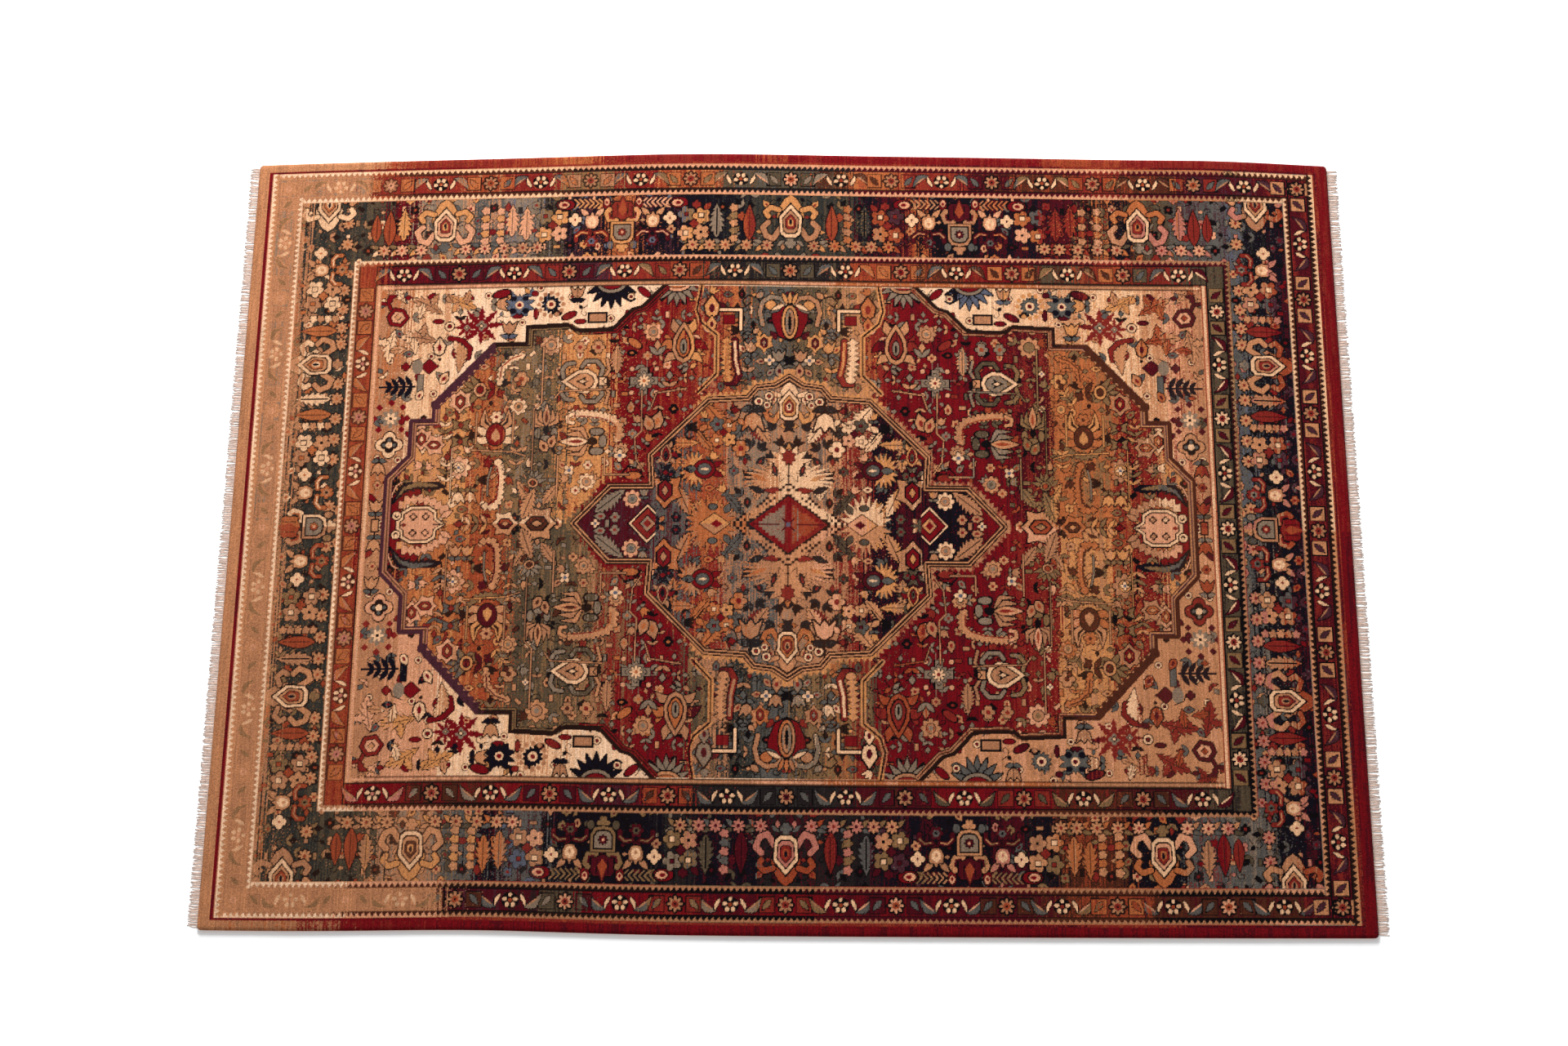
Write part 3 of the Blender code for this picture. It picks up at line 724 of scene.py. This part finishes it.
# Motifs inside the border: name, x and y, and their turn and size where these aren't 0 and 1
FIELD_PLACES = {
    "spandrel": """
      fan 395 545 180 1.05, aster 598 497, sunflower 528 497, bean 487 470 -25 1.2, bean 462 456 0 0.9,
      tulip 470 520 0 1.2, ringlet 395 462 0 0.9, crumb 424 464 0 2.2, tulip 618 440 0 1.3,
      curled_leaf 728 378, tulip 640 500 90 1.2, cloud_leaf 726 508 0 0.7, cloud_leaf 800 498 180 0.75,
      cloud_leaf 815 422 160 0.8, cloud_leaf 876 408 70 0.75, cloud_leaf 870 530 200 0.6, spiky 680 450,
      spiky 712 446 0 0.6, pomegranate 866 474 0 0.9, bud 770 402 0 1.6, vine_flower 790 358,
      ringlet 552 536 0 0.9, ringlet 750 450 0 1.2, bean 638 524 -15 1.4, fir 856 312 -90,
      dotted_rosette 868 240 0 1.15, quatrefoil 868 180, tulip 888 130 180 1.2,
      little_rose 888 90 0 0.8, tulip 888 40 0 1.2, ringlet 590 456 0 0.8, ringlet 352 512 0 0.9,
      bean 322 522 40 1.2, bud 808 292 30, bud 756 330 30 1.2, crumb 888 0 90 1.6""",
    "field": """
      lily 233 400, daisy 300 430, star 318 318, urn 452 318 -90, comb_leaf 425 218,
      trumpet 448 182 -90 1.1, daisy 364 162 0 0.8, pinwheel 475 118 45, daisy 436 92 0 0.9,
      serrated 378 368 0 0.9, fan 250 545 180, daisy 524 402 0 1.15, little_rose 460 396 0 1.1,
      little_rose 420 396 0 1.2, bean 340 404 35 1.3, tendril 396 318, shield 542 0 90 1.15,
      serrated 512 66 35 0.8, serrated 568 68 -35 0.9, shield 606 0 -90 0.8, calyx 637 205,
      blade 640 92 0 1.1, little_rose 586 325 0 1.4, thistle 676 302 -90 1.1, daisy 714 126 0 1.25,
      pinwheel 714 126 0 0.8, bow_tie 714 222 0 1.2, bow_tie 714 184 0 1.2, shield 718 274 0 0.75,
      feather 618 358 -18, trumpet 528 226 0 0.9, bud 515 182 20 1.2, bud 532 172 -30 1.2,
      pinwheel 548 262 0 0.6, pinwheel 550 342 0 0.6, spray 672 0 -90, bud 286 228 15 1.6,
      bud 305 222 -20 1.4, end_palmette 792 0 -90, spray 740 118 0 0.9, shield 798 190 0 0.7,
      spray 590 150 0 0.8, sprig 262 318 0 1.2, tendril 226 340 0 1.2, bud 345 258,
      spray 606 290 30 0.8, spray 748 210 0 0.8, thistle 552 90 20 0.8, tendril 340 112 0 1.6,
      leaf_pair 290 392 0 1.2, pinwheel 366 150 0 1.1, bean 336 105 0 1.3, shield 772 178 90 0.7,
      daisy 590 262 0 0.9, serrated 560 44 20, tulip 686 62 180 1.1, tulip 712 62 180 1.1""",
    "panel": """
      tulip 24 372 0 1.2, tulip 85 392 0 1.2, pinwheel 44 366, bud 22 342 0 1.2, tendril 90 420 0 1.3,
      sprig 92 352 0 1.2, bud 172 486 0 2, tendril 86 500 0 1.6, panel_lily 0 462, upright_comb 134 360,
      bud 172 448 0 1.3, shield 56 404 0 0.6, panel_hook 126 458""",
    "medallion": """
      big_leaf 160 0 -90, crown 0 112, serrated 226 52 -25, serrated 60 206 -35 0.9, house 0 262 0 0.85,
      ringlet 44 284 0 1.1, ringlet 66 272 0 1.1, ringlet 48 264 0 0.9, tulip 78 232 180 1.9,
      little_rose 104 166 0 1.5, palmette 186 120 -90, serrated 158 236 -40 1.1, cluster 142 202 0 0.8,
      shield 266 70 0 1.1, bow_tie 266 112 90 1.1, lily 266 152 0 0.5, tendril 206 196 0 1.6,
      tendril 118 244 90 1.4""",
    "pendant": """
      daisy 336 54 0 0.95, serrated 384 50 52 1.1, tulip 311 66 0 0.8, little_rose 372 14 0 0.9,
      bud 404 16 -90, pinwheel 414 0 0 0.8, crumb 388 0 90, pendant_diamond 302 0""",
}
FILLERS = {
    # pitch, motifs to choose from
    "field": (31.0, "sprig tulip little_rose tendril leaf_pair bud crumb tendril sprig"),
    "panel": (30.0, "sprig tulip tendril leaf_pair bud"),
    "medallion": (34.0, "serrated tulip little_rose tendril leaf_pair bud"),
    "spandrel": (46.0, "bean tulip ringlet bud tendril leaf_pair sprig"),
    "main": (30.0, "crumb leaf_pair bud little_rose tendril"),
}
FILLER_REACH = {"main": (HALF_LENGTH, HALF_WIDTH)}
FIELD_CORNER = (900.0, 540.0)
FILLER_DYES = (MAIN, SECOND, ACCENT, LEAF, LINE)
FILLER_TURNS = (0.0, 90.0, 180.0, -90.0, 40.0, -40.0)
FILLER_SLIP = 0.22
FILLER_SIZE = 0.85


def scatter_fillers(quarter, place):
    """Small flowers and hooks, one in each square of a loose grid, to fill the ground."""
    pitch, names = FILLERS[place]
    names = names.split()
    reach_x, reach_y = FILLER_REACH.get(place, FIELD_CORNER)
    for row in range(int(reach_y / pitch) + 1):
        for column in range(int(reach_x / pitch) + 1):
            slip = DICE.uniform(-FILLER_SLIP, FILLER_SLIP, 2) * pitch
            turn = DICE.choice(FILLER_TURNS)
            name = names[DICE.integers(len(names))]
            dye = FILLER_DYES[DICE.integers(len(FILLER_DYES))]
            x = (column + 0.5 * (row % 2)) * pitch + slip[0]
            y = (row + 0.25) * pitch + slip[1]
            quarter.stamp(name, x, y, turn, FILLER_SIZE, inside=place, twin=name not in ONE_SIDED, dye=dye)


# The centre diamond in millimetres, with the steps of its edges. Rings are shares of its half size
DIAMOND_REACH = 130.0
DIAMOND_HALF = (82.0, 60.0)
DIAMOND_STEP = (7.0, 6.0)
HEART_EDGE = numbers("0,0 84,0 0,62")
SURROUND_RINGS = ((LINE, 1.42), (MAIN, 1.36))
DASH_RING = 1.22
DASH_HALF_WIDTH = 0.03
DASH_PITCH = 9.0
DASH_LENGTH = 5.0
HEART_RING = 1.04
HEART_PARTS = (
    # ink, ring, least across, most up
    (SECOND, 0.74, 8.0, np.inf),
    (LINE, 0.9, 18.0, 2.0),
)
CROSS_RING = 0.3
CROSS_HALF_WIDTH = 3.0
CENTRE_HALF = 5.0


def centre_diamond(quarter):
    """The stepped red diamond with its four arms, in a pale surround with a dashed edge."""
    part, across, up = quarter.window(0.0, 0.0, DIAMOND_REACH)
    ring = np.floor(across / DIAMOND_STEP[0]) * DIAMOND_STEP[0] / DIAMOND_HALF[0]
    ring += np.floor(up / DIAMOND_STEP[1]) * DIAMOND_STEP[1] / DIAMOND_HALF[1]
    cells = quarter.ink[part]
    for ink, edge in SURROUND_RINGS:
        cells[ring < edge] = ink
    cells[(np.abs(ring - DASH_RING) < DASH_HALF_WIDTH) & (across % DASH_PITCH < DASH_LENGTH)] = LINE
    cells[ring < HEART_RING] = LINE
    quarter.fill("heart", HEART_EDGE)
    for ink, edge, least_across, most_up in HEART_PARTS:
        cells[(ring < edge) & (across > least_across) & (up < most_up)] = ink
    cells[(ring < CROSS_RING) & (np.abs(across - up) < CROSS_HALF_WIDTH)] = LINE
    cells[(across < CENTRE_HALF) & (up < CENTRE_HALF)] = LEAF


def draw_field(quarter):
    quarter.fill("spandrel", SPANDREL_EDGE)
    quarter.fill("field", (MIDDLE,) + FIELD_EDGE + (FIELD_TOP,))
    scatter_fillers(quarter, "spandrel")
    scatter_fillers(quarter, "field")
    quarter.stamp_all("spandrel")
    quarter.stamp_all("field")
    for vine in VINES:
        for ink, width in VINE_LINES:
            quarter.line("field", ink, width, numbers(vine))
    rim_lines(quarter, "field")
    quarter.fill("panel", (PANEL_FOOT, FIELD_TOP) + PANEL_EDGE)
    scatter_fillers(quarter, "panel")
    quarter.stamp_all("panel")
    rim_lines(quarter, "panel")
    quarter.fill("medallion", MEDALLION_EDGE + (MIDDLE,))
    scatter_fillers(quarter, "medallion")
    quarter.stamp_all("medallion")
    centre_diamond(quarter)
    quarter.fill("pendant", PENDANT_EDGE)
    quarter.stamp_all("pendant")
    rim_lines(quarter, "medallion")


def rim_lines(quarter, name):
    for ink, width, points, *teeth in RIM_LINES[name]:
        quarter.line("rim", ink, width, points, *teeth)


def streaks(rows, columns, slow):
    """Uneven dye: each weft has its own value, which drifts slowly across the rug."""
    knots = DICE.normal(size=(slow, columns))
    stops = np.linspace(0, slow - 1, rows)
    low = np.floor(stops).astype(int).clip(0, slow - 2)
    share = (stops - low)[:, None]
    return knots[low] * (1.0 - share) + knots[low + 1] * share


def wide_streaks(rows, columns, slow):
    """The same, for wefts that are two cells wide."""
    return np.repeat(streaks(rows, columns // 2, slow), 2, axis=1)


def soften(field, reach):
    """Average each value with its neighbours along the rug."""
    weights = np.ones(reach) / reach
    return np.apply_along_axis(lambda row: np.convolve(row, weights, mode="same"), 1, field)


def calm(values):
    """Normal draws with their rare large values cut down."""
    return values.clip(-2.0, 2.0)


def linear(rgb):
    """From sRGB to linear light."""
    share = np.asarray(rgb, float) / 255.0
    return np.where(share <= 0.04045, share / 12.92, ((share + 0.055) / 1.055) ** 2.4)


def dye_colour(name):
    """The colour of a dye, or black for an ink or patch that its table leaves out, as it isn't used there."""
    return linear(DYES.get(name, (0, 0, 0))) * DYE_STRENGTH


def read_zones(table):
    """Where each zone of a table starts, the colour of every ink in it, and of its patches."""
    columns = ZONE_COLUMNS.get(table.removesuffix("_near"), ALL_COLUMNS).split()
    starts = []
    inks = []
    patches = []
    dyes = {}
    for row in ZONES[table].split(","):
        from_x, *names = row.split()
        wash = float(names.pop()) if len(names) > len(columns) else 0.0
        dyes.update((column, name) for column, name in zip(columns, names) if name != "=")
        ground, *others = (dye_colour(dyes.get(ink, ink)) for ink in INKS)
        starts.append(float(from_x))
        inks.append([ground] + [ground * wash + other * (1.0 - wash) for other in others])
        patches.append(dye_colour(dyes.get("patch")))
    return starts, np.array(inks), np.array(patches)


def mirrored(quarter_cells):
    half = np.concatenate((quarter_cells[:, ::-1], quarter_cells), axis=1)
    return np.concatenate((half[::-1], half), axis=0)


# How far, in millimetres, the ends of the zones shift: by weft, slowly, by cell and for strays
RAGGED_SHIFT = 13.0
DRIFT_SHIFT = 22.0
CELL_SHIFT = 5.0
STRAY_SHIFT = 45.0
STRAY_SHARE = 0.14
# The patches that break up the ground, and the uneven tone of the yarn
PATCH_DRIFT = 2.2
PATCH_WEFTS = 0.8
PATCH_SLOPE = 0.6
PATCH_BASE = 0.1
PATCH_LEAST = 0.04
PATCH_MOST = 0.9
PATCH_STRENGTH = 0.85
WEFT_TONE = 0.09
CELL_TONE = 0.17
# How many values a slow drift passes through across the rug, and how many cells along it are averaged
RAGGED_TURNS = 14
DRIFT_TURNS = 9
DRIFT_SOFT = 9
PATCH_TURNS = 26
PATCH_SOFT = 7
PATCH_WEFT_TURNS = 40
TONE_TURNS = 30


def colour_cells(quarter):
    """The colour of every cell of the whole rug, from its ink, its place and the dye zones."""
    ink = mirrored(quarter.ink)
    place = mirrored(quarter.place)
    rows, columns = ink.shape
    x = np.concatenate((-quarter.x[::-1], quarter.x))
    ragged = wide_streaks(rows, columns, RAGGED_TURNS)
    drift = soften(streaks(rows, columns, DRIFT_TURNS), DRIFT_SOFT)
    strays = DICE.random((rows, columns)) < STRAY_SHARE
    cell_shift = DICE.normal(size=(rows, columns)) * (CELL_SHIFT + STRAY_SHIFT * strays)
    zone_x = x[None, :] + ragged * RAGGED_SHIFT + drift * DRIFT_SHIFT + cell_shift
    patchy = soften(streaks(rows, columns, PATCH_TURNS), PATCH_SOFT) * PATCH_DRIFT
    patchy += wide_streaks(rows, columns, PATCH_WEFT_TURNS) * PATCH_WEFTS
    patch_share = np.clip(patchy * PATCH_SLOPE + PATCH_BASE, PATCH_LEAST, PATCH_MOST)
    speckle = DICE.random((rows, columns))
    colours = np.zeros((rows, columns, 3))
    for name in PLACES:
        # The near half takes the _near tables, whose darker dyes are partly painted shade
        for half, suffix in ((slice(0, rows // 2), "_near"), (slice(rows // 2, rows), "")):
            zones = SAME_ZONES.get(name, name)
            starts, inks, patches = read_zones(zones + suffix if zones + suffix in ZONES else zones)
            here = place[half] == PLACE[name]
            zone = np.searchsorted(starts, zone_x[half][here], side="right") - 1
            zone = zone.clip(0, len(starts) - 1)
            chosen = ink[half][here]
            share = (speckle[half][here] < patch_share[half][here]) & (chosen == GROUND)
            share = share[:, None] * PATCH_STRENGTH
            colours[half][here] = inks[zone, chosen] * (1.0 - share) + patches[zone] * share
    wefts = wide_streaks(rows, columns, TONE_TURNS)
    tone = 1.0 + WEFT_TONE * calm(wefts) + CELL_TONE * calm(DICE.normal(size=(rows, columns)))
    return colours * tone[:, :, None]


def side_reach(side, x):
    bow = FAR_BOW if side == "far" else NEAR_BOW
    reach = bow * (1.0 - (x / HALF_LENGTH) ** 2)
    for wave_side, middle_x, stands_out, half_width in SIDE_WAVES:
        if wave_side == side:
            reach = reach + stands_out * np.exp(-(((x - middle_x) / half_width) ** 2))
    return reach


LONG_STOPS = np.linspace(-HALF_LENGTH, HALF_LENGTH, KNOTS_LONG + 1)
MIDDLE_Y = HALF_WIDTH + side_reach("far", LONG_STOPS).max() - RUG_BOX[1][1] / MM


def on_rug(x, y):
    """Take a point of the even pattern to its place on the uneven rug, with its corners rounded."""
    past_x = np.abs(x) - (HALF_LENGTH - CORNER_RADIUS)
    past_y = np.abs(y) - (HALF_WIDTH - CORNER_RADIUS)
    corner = (past_x > 0) & (past_y > 0)
    longest = np.maximum(past_x, past_y)
    squeeze = np.where(corner, longest / np.maximum(np.hypot(past_x, past_y), 1e-6), 1.0)
    x = np.where(corner, np.sign(x) * (HALF_LENGTH - CORNER_RADIUS + past_x * squeeze), x)
    y = np.where(corner, np.sign(y) * (HALF_WIDTH - CORNER_RADIUS + past_y * squeeze), y)
    share = (y + HALF_WIDTH) / (2 * HALF_WIDTH)
    far = HALF_WIDTH + side_reach("far", x)
    near = -HALF_WIDTH - side_reach("near", x)
    return x, near * (1.0 - share) + far * share - MIDDLE_Y


def new_object(name, points, faces, material, colours=None):
    mesh = bpy.data.meshes.new(name)
    mesh.from_pydata(points.tolist(), [], faces)
    mesh.update()
    mesh.polygons.foreach_set("use_smooth", np.ones(len(mesh.polygons), bool))
    if colours is not None:
        layer = mesh.attributes.new("yarn", "FLOAT_COLOR", "CORNER")
        filled = np.ones((len(colours), 4), np.float32)
        filled[:, :3] = colours
        layer.data.foreach_set("color", filled.ravel())
    mesh.materials.append(material)
    piece = bpy.data.objects.new(name, mesh)
    bpy.context.scene.collection.objects.link(piece)
    return piece


# The tops of the knots, in millimetres: their mean depth below the part's top, their fall at the rug's edge,
# and how they swell slowly and differ from knot to knot
KNOT_DEPTH = 0.35
EDGE_FALL = 3.2
EDGE_REACH = 7.0
SWELL = 0.5
SWELL_MOST = 0.3
SWELL_TURNS = 30
SWELL_SOFT = 25
KNOT_ROUGHNESS = 0.07


def pile_surface():
    """The tops of the knots as a grid: a little uneven, and rounded down at the rug's edge."""
    x, y = np.meshgrid(LONG_STOPS, np.linspace(-HALF_WIDTH, HALF_WIDTH, KNOTS_WIDE + 1))
    place_x, place_y = on_rug(x, y)
    edge_gap = np.minimum(HALF_LENGTH - np.abs(x), HALF_WIDTH - np.abs(y))
    fall = EDGE_FALL * np.clip(1.0 - edge_gap / EDGE_REACH, 0.0, 1.0) ** 2
    swell = soften(streaks(*x.shape, SWELL_TURNS), SWELL_SOFT) * SWELL
    height = PILE_TOP - KNOT_DEPTH - fall + np.clip(swell, -SWELL_MOST, SWELL_MOST)
    height = height + calm(DICE.normal(size=x.shape)) * KNOT_ROUGHNESS
    return np.stack((place_x, place_y, height), axis=-1)


def grid_faces(rows, columns):
    start = np.arange(rows)[:, None] * (columns + 1) + np.arange(columns)[None, :]
    return np.stack((start, start + 1, start + columns + 2, start + columns + 1), axis=-1).reshape(-1, 4)


def make_pile(colours, material):
    """The pile in strips across the rug, each with its own side wall where it meets the rug's edge.

    Each corner of a knot has the colour of its own fine cell.
    """
    surface = pile_surface()
    cells = colours.reshape(KNOTS_WIDE, 2, KNOTS_LONG, 2, 3)
    knots = cells.mean(axis=(1, 3))
    corners = np.stack((cells[:, 0, :, 0], cells[:, 0, :, 1], cells[:, 1, :, 1], cells[:, 1, :, 0]), axis=2)
    width = KNOTS_LONG // STRIPS
    strips = []
    for number in range(STRIPS):
        span = slice(number * width, (number + 1) * width)
        top = surface[:, span.start:span.stop + 1]
        rows, columns = top.shape[:2]
        points = [top.reshape(-1, 3)]
        faces = [grid_faces(rows - 1, columns - 1)]
        paint = [corners[:, span].reshape(-1, 3)]
        index = np.arange(rows * columns).reshape(rows, columns)
        rims = [(index[0], knots[0, span]), (index[-1][::-1], knots[-1, span][::-1])]
        if number == 0:
            rims.append((index[:, 0][::-1], knots[:, 0][::-1]))
        if number == STRIPS - 1:
            rims.append((index[:, -1], knots[:, -1]))
        count = rows * columns
        for rim, rim_paint in rims:
            foot = points[0][rim].copy()
            foot[:, 2] = FOUNDATION_TOP
            below = count + np.arange(len(rim))
            faces.append(np.stack((rim[:-1], below[:-1], below[1:], rim[1:]), axis=-1))
            points.append(foot)
            paint.append(np.repeat(rim_paint, 4, axis=0))
            count += len(rim)
        faces = np.concatenate(faces).tolist()
        points = np.concatenate(points) * MM
        strips.append(new_object(f"pile_{number + 1}", points, faces, material, np.concatenate(paint)))
    return strips, knots


def make_back(knots, material):
    """The woven foundation under the pile, whose back shows the pattern in coarser steps."""
    long_cells = KNOTS_LONG // BACK_CELL
    wide_cells = KNOTS_WIDE // BACK_CELL
    x, y = np.meshgrid(np.linspace(-HALF_LENGTH, HALF_LENGTH, long_cells + 1),
                       np.linspace(-HALF_WIDTH, HALF_WIDTH, wide_cells + 1))
    x, y = on_rug(x, y)
    floor = np.stack((x, y, np.zeros(x.shape)), axis=-1).reshape(-1, 3)
    faces = grid_faces(wide_cells, long_cells)[:, ::-1].tolist()
    paint = knots.reshape(wide_cells, BACK_CELL, long_cells, BACK_CELL, 3).mean(axis=(1, 3)).reshape(-1, 3)
    index = np.arange(len(floor)).reshape(wide_cells + 1, long_cells + 1)
    ring = np.concatenate((index[0, :-1], index[:-1, -1], index[-1, :0:-1], index[:0:-1, 0]))
    top = floor[ring].copy()
    top[:, 2] = FOUNDATION_TOP
    above = len(floor) + np.arange(len(ring))
    walls = np.stack((ring, np.roll(ring, -1), np.roll(above, -1), above), axis=-1).tolist()
    sand = linear(DYES["sand"])
    paint = np.concatenate((np.repeat(paint, 4, axis=0), np.tile(sand, (4 * len(walls) + len(above), 1))))
    points = np.concatenate((floor, top)) * MM
    return new_object("rug_back", points, faces + walls + [above.tolist()], material, paint)


FRINGES = (
    # node, side, reach past the rug's end in millimetres, seed
    ("fringe_left", -1.0, 23.0, 6),
    ("fringe_right", 1.0, 25.0, 5),
)
THREADS_PER_END = 950
THREAD_STEPS = 4
THREAD_CORNERS = 3
# Sizes of a thread in millimetres, and how its length and radius differ from thread to thread
THREAD_RADIUS = 0.95
THREAD_ROOT = 3.0
THREAD_LEAN = 1.5
THREAD_CURL = 1.2
THREAD_LENGTHS = (0.78, 1.0)
THREAD_RADII = (0.8, 1.15)
THREAD_TAPER = 0.3
# How high a thread starts, and how fast it comes down to the floor
THREAD_START_Z = 2.2
THREAD_FALL = 2.2


def make_fringe(name, side, reach, seed, material):
    """The cotton warp ends: many fine threads that lie on the floor, each swaying its own way."""
    dice = np.random.default_rng(seed)
    points = []
    faces = []
    starts = np.linspace(-HALF_WIDTH + CORNER_RADIUS, HALF_WIDTH - CORNER_RADIUS, THREADS_PER_END)
    for start in starts:
        length = reach * dice.uniform(*THREAD_LENGTHS)
        lean = dice.normal() * THREAD_LEAN
        curl = dice.normal() * THREAD_CURL
        radius = THREAD_RADIUS * dice.uniform(*THREAD_RADII)
        first = len(points)
        last = first + THREAD_STEPS * THREAD_CORNERS
        for step in range(THREAD_STEPS + 1):
            share = step / THREAD_STEPS
            x = side * (HALF_LENGTH - THREAD_ROOT + (length + THREAD_ROOT) * share)
            y = start + lean * share + curl * math.sin(math.pi * share) - MIDDLE_Y
            thin = radius * (1.0 - THREAD_TAPER * share)
            middle_z = max(thin, THREAD_START_Z * (1.0 - THREAD_FALL * share))
            for corner in range(THREAD_CORNERS):
                angle = 2 * math.pi * corner / THREAD_CORNERS - math.pi / 2
                points.append((x, y + thin * math.cos(angle), middle_z + thin * math.sin(angle)))
        for ring in range(first, last, THREAD_CORNERS):
            for corner in range(THREAD_CORNERS):
                a = ring + corner
                b = ring + (corner + 1) % THREAD_CORNERS
                faces.append((a, b, b + THREAD_CORNERS, a + THREAD_CORNERS))
        faces.append((first, first + 2, first + 1))
        faces.append((last, last + 1, last + 2))
    if side < 0:
        faces = [face[::-1] for face in faces]
    return new_object(name, np.array(points) * MM, faces, material)


def add_node(tree, kind, **values):
    """A new node with the values of its inputs, whose names have _ in place of a space."""
    node = tree.nodes.new("ShaderNode" + kind)
    for name, value in values.items():
        node.inputs[name.replace("_", " ")].default_value = value
    return node


def yarn_material(name, roughness, sheen, tufts_a_metre, bump_depth, dark, light, dye=None):
    """A matte yarn with fine bumps and a soft sheen. A noise varies its colour from dark to light.

    The colour is the mesh's own yarn attribute, or else one dye.
    """
    material = bpy.data.materials.new(name)
    material.use_nodes = True
    tree = material.node_tree
    shader = tree.nodes["Principled BSDF"]
    shader.inputs["Roughness"].default_value = roughness
    shader.inputs["Sheen Weight"].default_value = sheen
    shader.inputs["Sheen Roughness"].default_value = 0.5
    shader.inputs["Specular IOR Level"].default_value = 0.04
    place = add_node(tree, "TexCoord")
    tufts = add_node(tree, "TexNoise", Scale=tufts_a_metre, Detail=3.0)
    bump = add_node(tree, "Bump", Strength=0.6, Distance=bump_depth)
    spread = add_node(tree, "MapRange", From_Min=0.3, From_Max=0.7, To_Min=dark, To_Max=light)
    scaled = add_node(tree, "VectorMath")
    scaled.operation = "SCALE"
    if dye:
        yarn = add_node(tree, "RGB")
        yarn.outputs["Color"].default_value = (*linear(dye), 1.0)
    else:
        yarn = add_node(tree, "Attribute")
        yarn.attribute_name = "yarn"
    for source, target in (
            (place.outputs["Object"], tufts.inputs["Vector"]),
            (tufts.outputs["Fac"], bump.inputs["Height"]),
            (bump.outputs["Normal"], shader.inputs["Normal"]),
            (tufts.outputs["Fac"], spread.inputs["Value"]),
            (yarn.outputs["Color"], scaled.inputs[0]),
            (spread.outputs["Result"], scaled.inputs["Scale"]),
            (scaled.outputs["Vector"], shader.inputs["Base Color"])):
        tree.links.new(source, target)
    return material


FLOOR_HALF = 7.0
FLOOR_SHADE = (0.93, 0.93, 0.93, 1.0)
FLOOR_ROUGHNESS = 0.9


def make_floor():
    corners = [(x * FLOOR_HALF, y * FLOOR_HALF, 0.0) for x, y in ((-1, -1), (1, -1), (1, 1), (-1, 1))]
    mesh = bpy.data.meshes.new("floor")
    mesh.from_pydata(corners, [], [(0, 1, 2, 3)])
    material = bpy.data.materials.new("floor")
    material.use_nodes = True
    shader = material.node_tree.nodes["Principled BSDF"]
    shader.inputs["Base Color"].default_value = FLOOR_SHADE
    shader.inputs["Roughness"].default_value = FLOOR_ROUGHNESS
    mesh.materials.append(material)
    floor = bpy.data.objects.new("floor", mesh)
    bpy.context.scene.collection.objects.link(floor)


LIGHT_PLACE = (-0.6, 4.2, 2.6)
LIGHT_SIZE = 2.4
LIGHT_POWER = 520.0
WORLD_STRENGTH = 0.62
WORLD_SHADE = (1.0, 1.0, 1.0, 1.0)


def make_lights():
    """One large soft lamp beyond the far side, and an even white surround."""
    data = bpy.data.lights.new("key_light", "AREA")
    data.shape = "DISK"
    data.size = LIGHT_SIZE
    data.energy = LIGHT_POWER
    light = bpy.data.objects.new("key_light", data)
    light.location = LIGHT_PLACE
    light.rotation_euler = (-Vector(LIGHT_PLACE)).to_track_quat("-Z", "Y").to_euler()
    bpy.context.scene.collection.objects.link(light)
    world = bpy.data.worlds.new("studio")
    world.use_nodes = True
    background = world.node_tree.nodes["Background"]
    background.inputs["Color"].default_value = WORLD_SHADE
    background.inputs["Strength"].default_value = WORLD_STRENGTH
    bpy.context.scene.world = world
    bpy.context.scene.view_settings.view_transform = "Standard"


# The camera that took the photo, worked out from the rug's four corners
CAMERA_PLACE = (0.0605, -1.1513, 4.2125)
CAMERA_RIGHT = (0.99985, 0.00789, -0.01436)
CAMERA_UP = (-0.00435, 0.96372, 0.26691)
CAMERA_BACK = (0.01610, -0.26682, 0.96361)
FOCAL_PIXELS = 2500.0
IMAGE_WIDTH = 1920
SENSOR = 36.0


def make_camera():
    data = bpy.data.cameras.new("camera")
    data.sensor_width = SENSOR
    data.lens = FOCAL_PIXELS / IMAGE_WIDTH * SENSOR
    camera = bpy.data.objects.new("camera", data)
    turn = Matrix((CAMERA_RIGHT, CAMERA_UP, CAMERA_BACK)).transposed()
    camera.rotation_euler = turn.to_euler()
    camera.location = (CAMERA_PLACE[0], CAMERA_PLACE[1] - MIDDLE_Y * MM, CAMERA_PLACE[2] + PILE_TOP * MM)
    bpy.context.scene.collection.objects.link(camera)
    bpy.context.scene.camera = camera


def main():
    make_camera()
    make_lights()
    make_floor()
    quarter = Quarter()
    lay_bands(quarter)
    minor_borders(quarter)
    main_border(quarter)
    draw_field(quarter)
    # name, roughness, sheen, tufts a metre, bump depth, dark, light
    wool = yarn_material("wool_pile", 1.0, 0.02, 420.0, 0.0012, 0.72, 1.22)
    strips, knots = make_pile(colour_cells(quarter), wool)
    back = make_back(knots, yarn_material("woven_back", 0.95, 0.05, 300.0, 0.0008, 0.8, 1.3))
    cotton = yarn_material("cotton_fringe", 0.9, 0.1, 160.0, 0.0005, 0.82, 1.1, dye=COTTON)
    for node, side, reach, seed in FRINGES:
        piece = make_fringe(f"{node}_threads", side, reach, seed, cotton)
        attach(piece, "root")
        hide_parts(node)
    for piece in strips + [back]:
        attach(piece, "root")
        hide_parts("rug")


main()
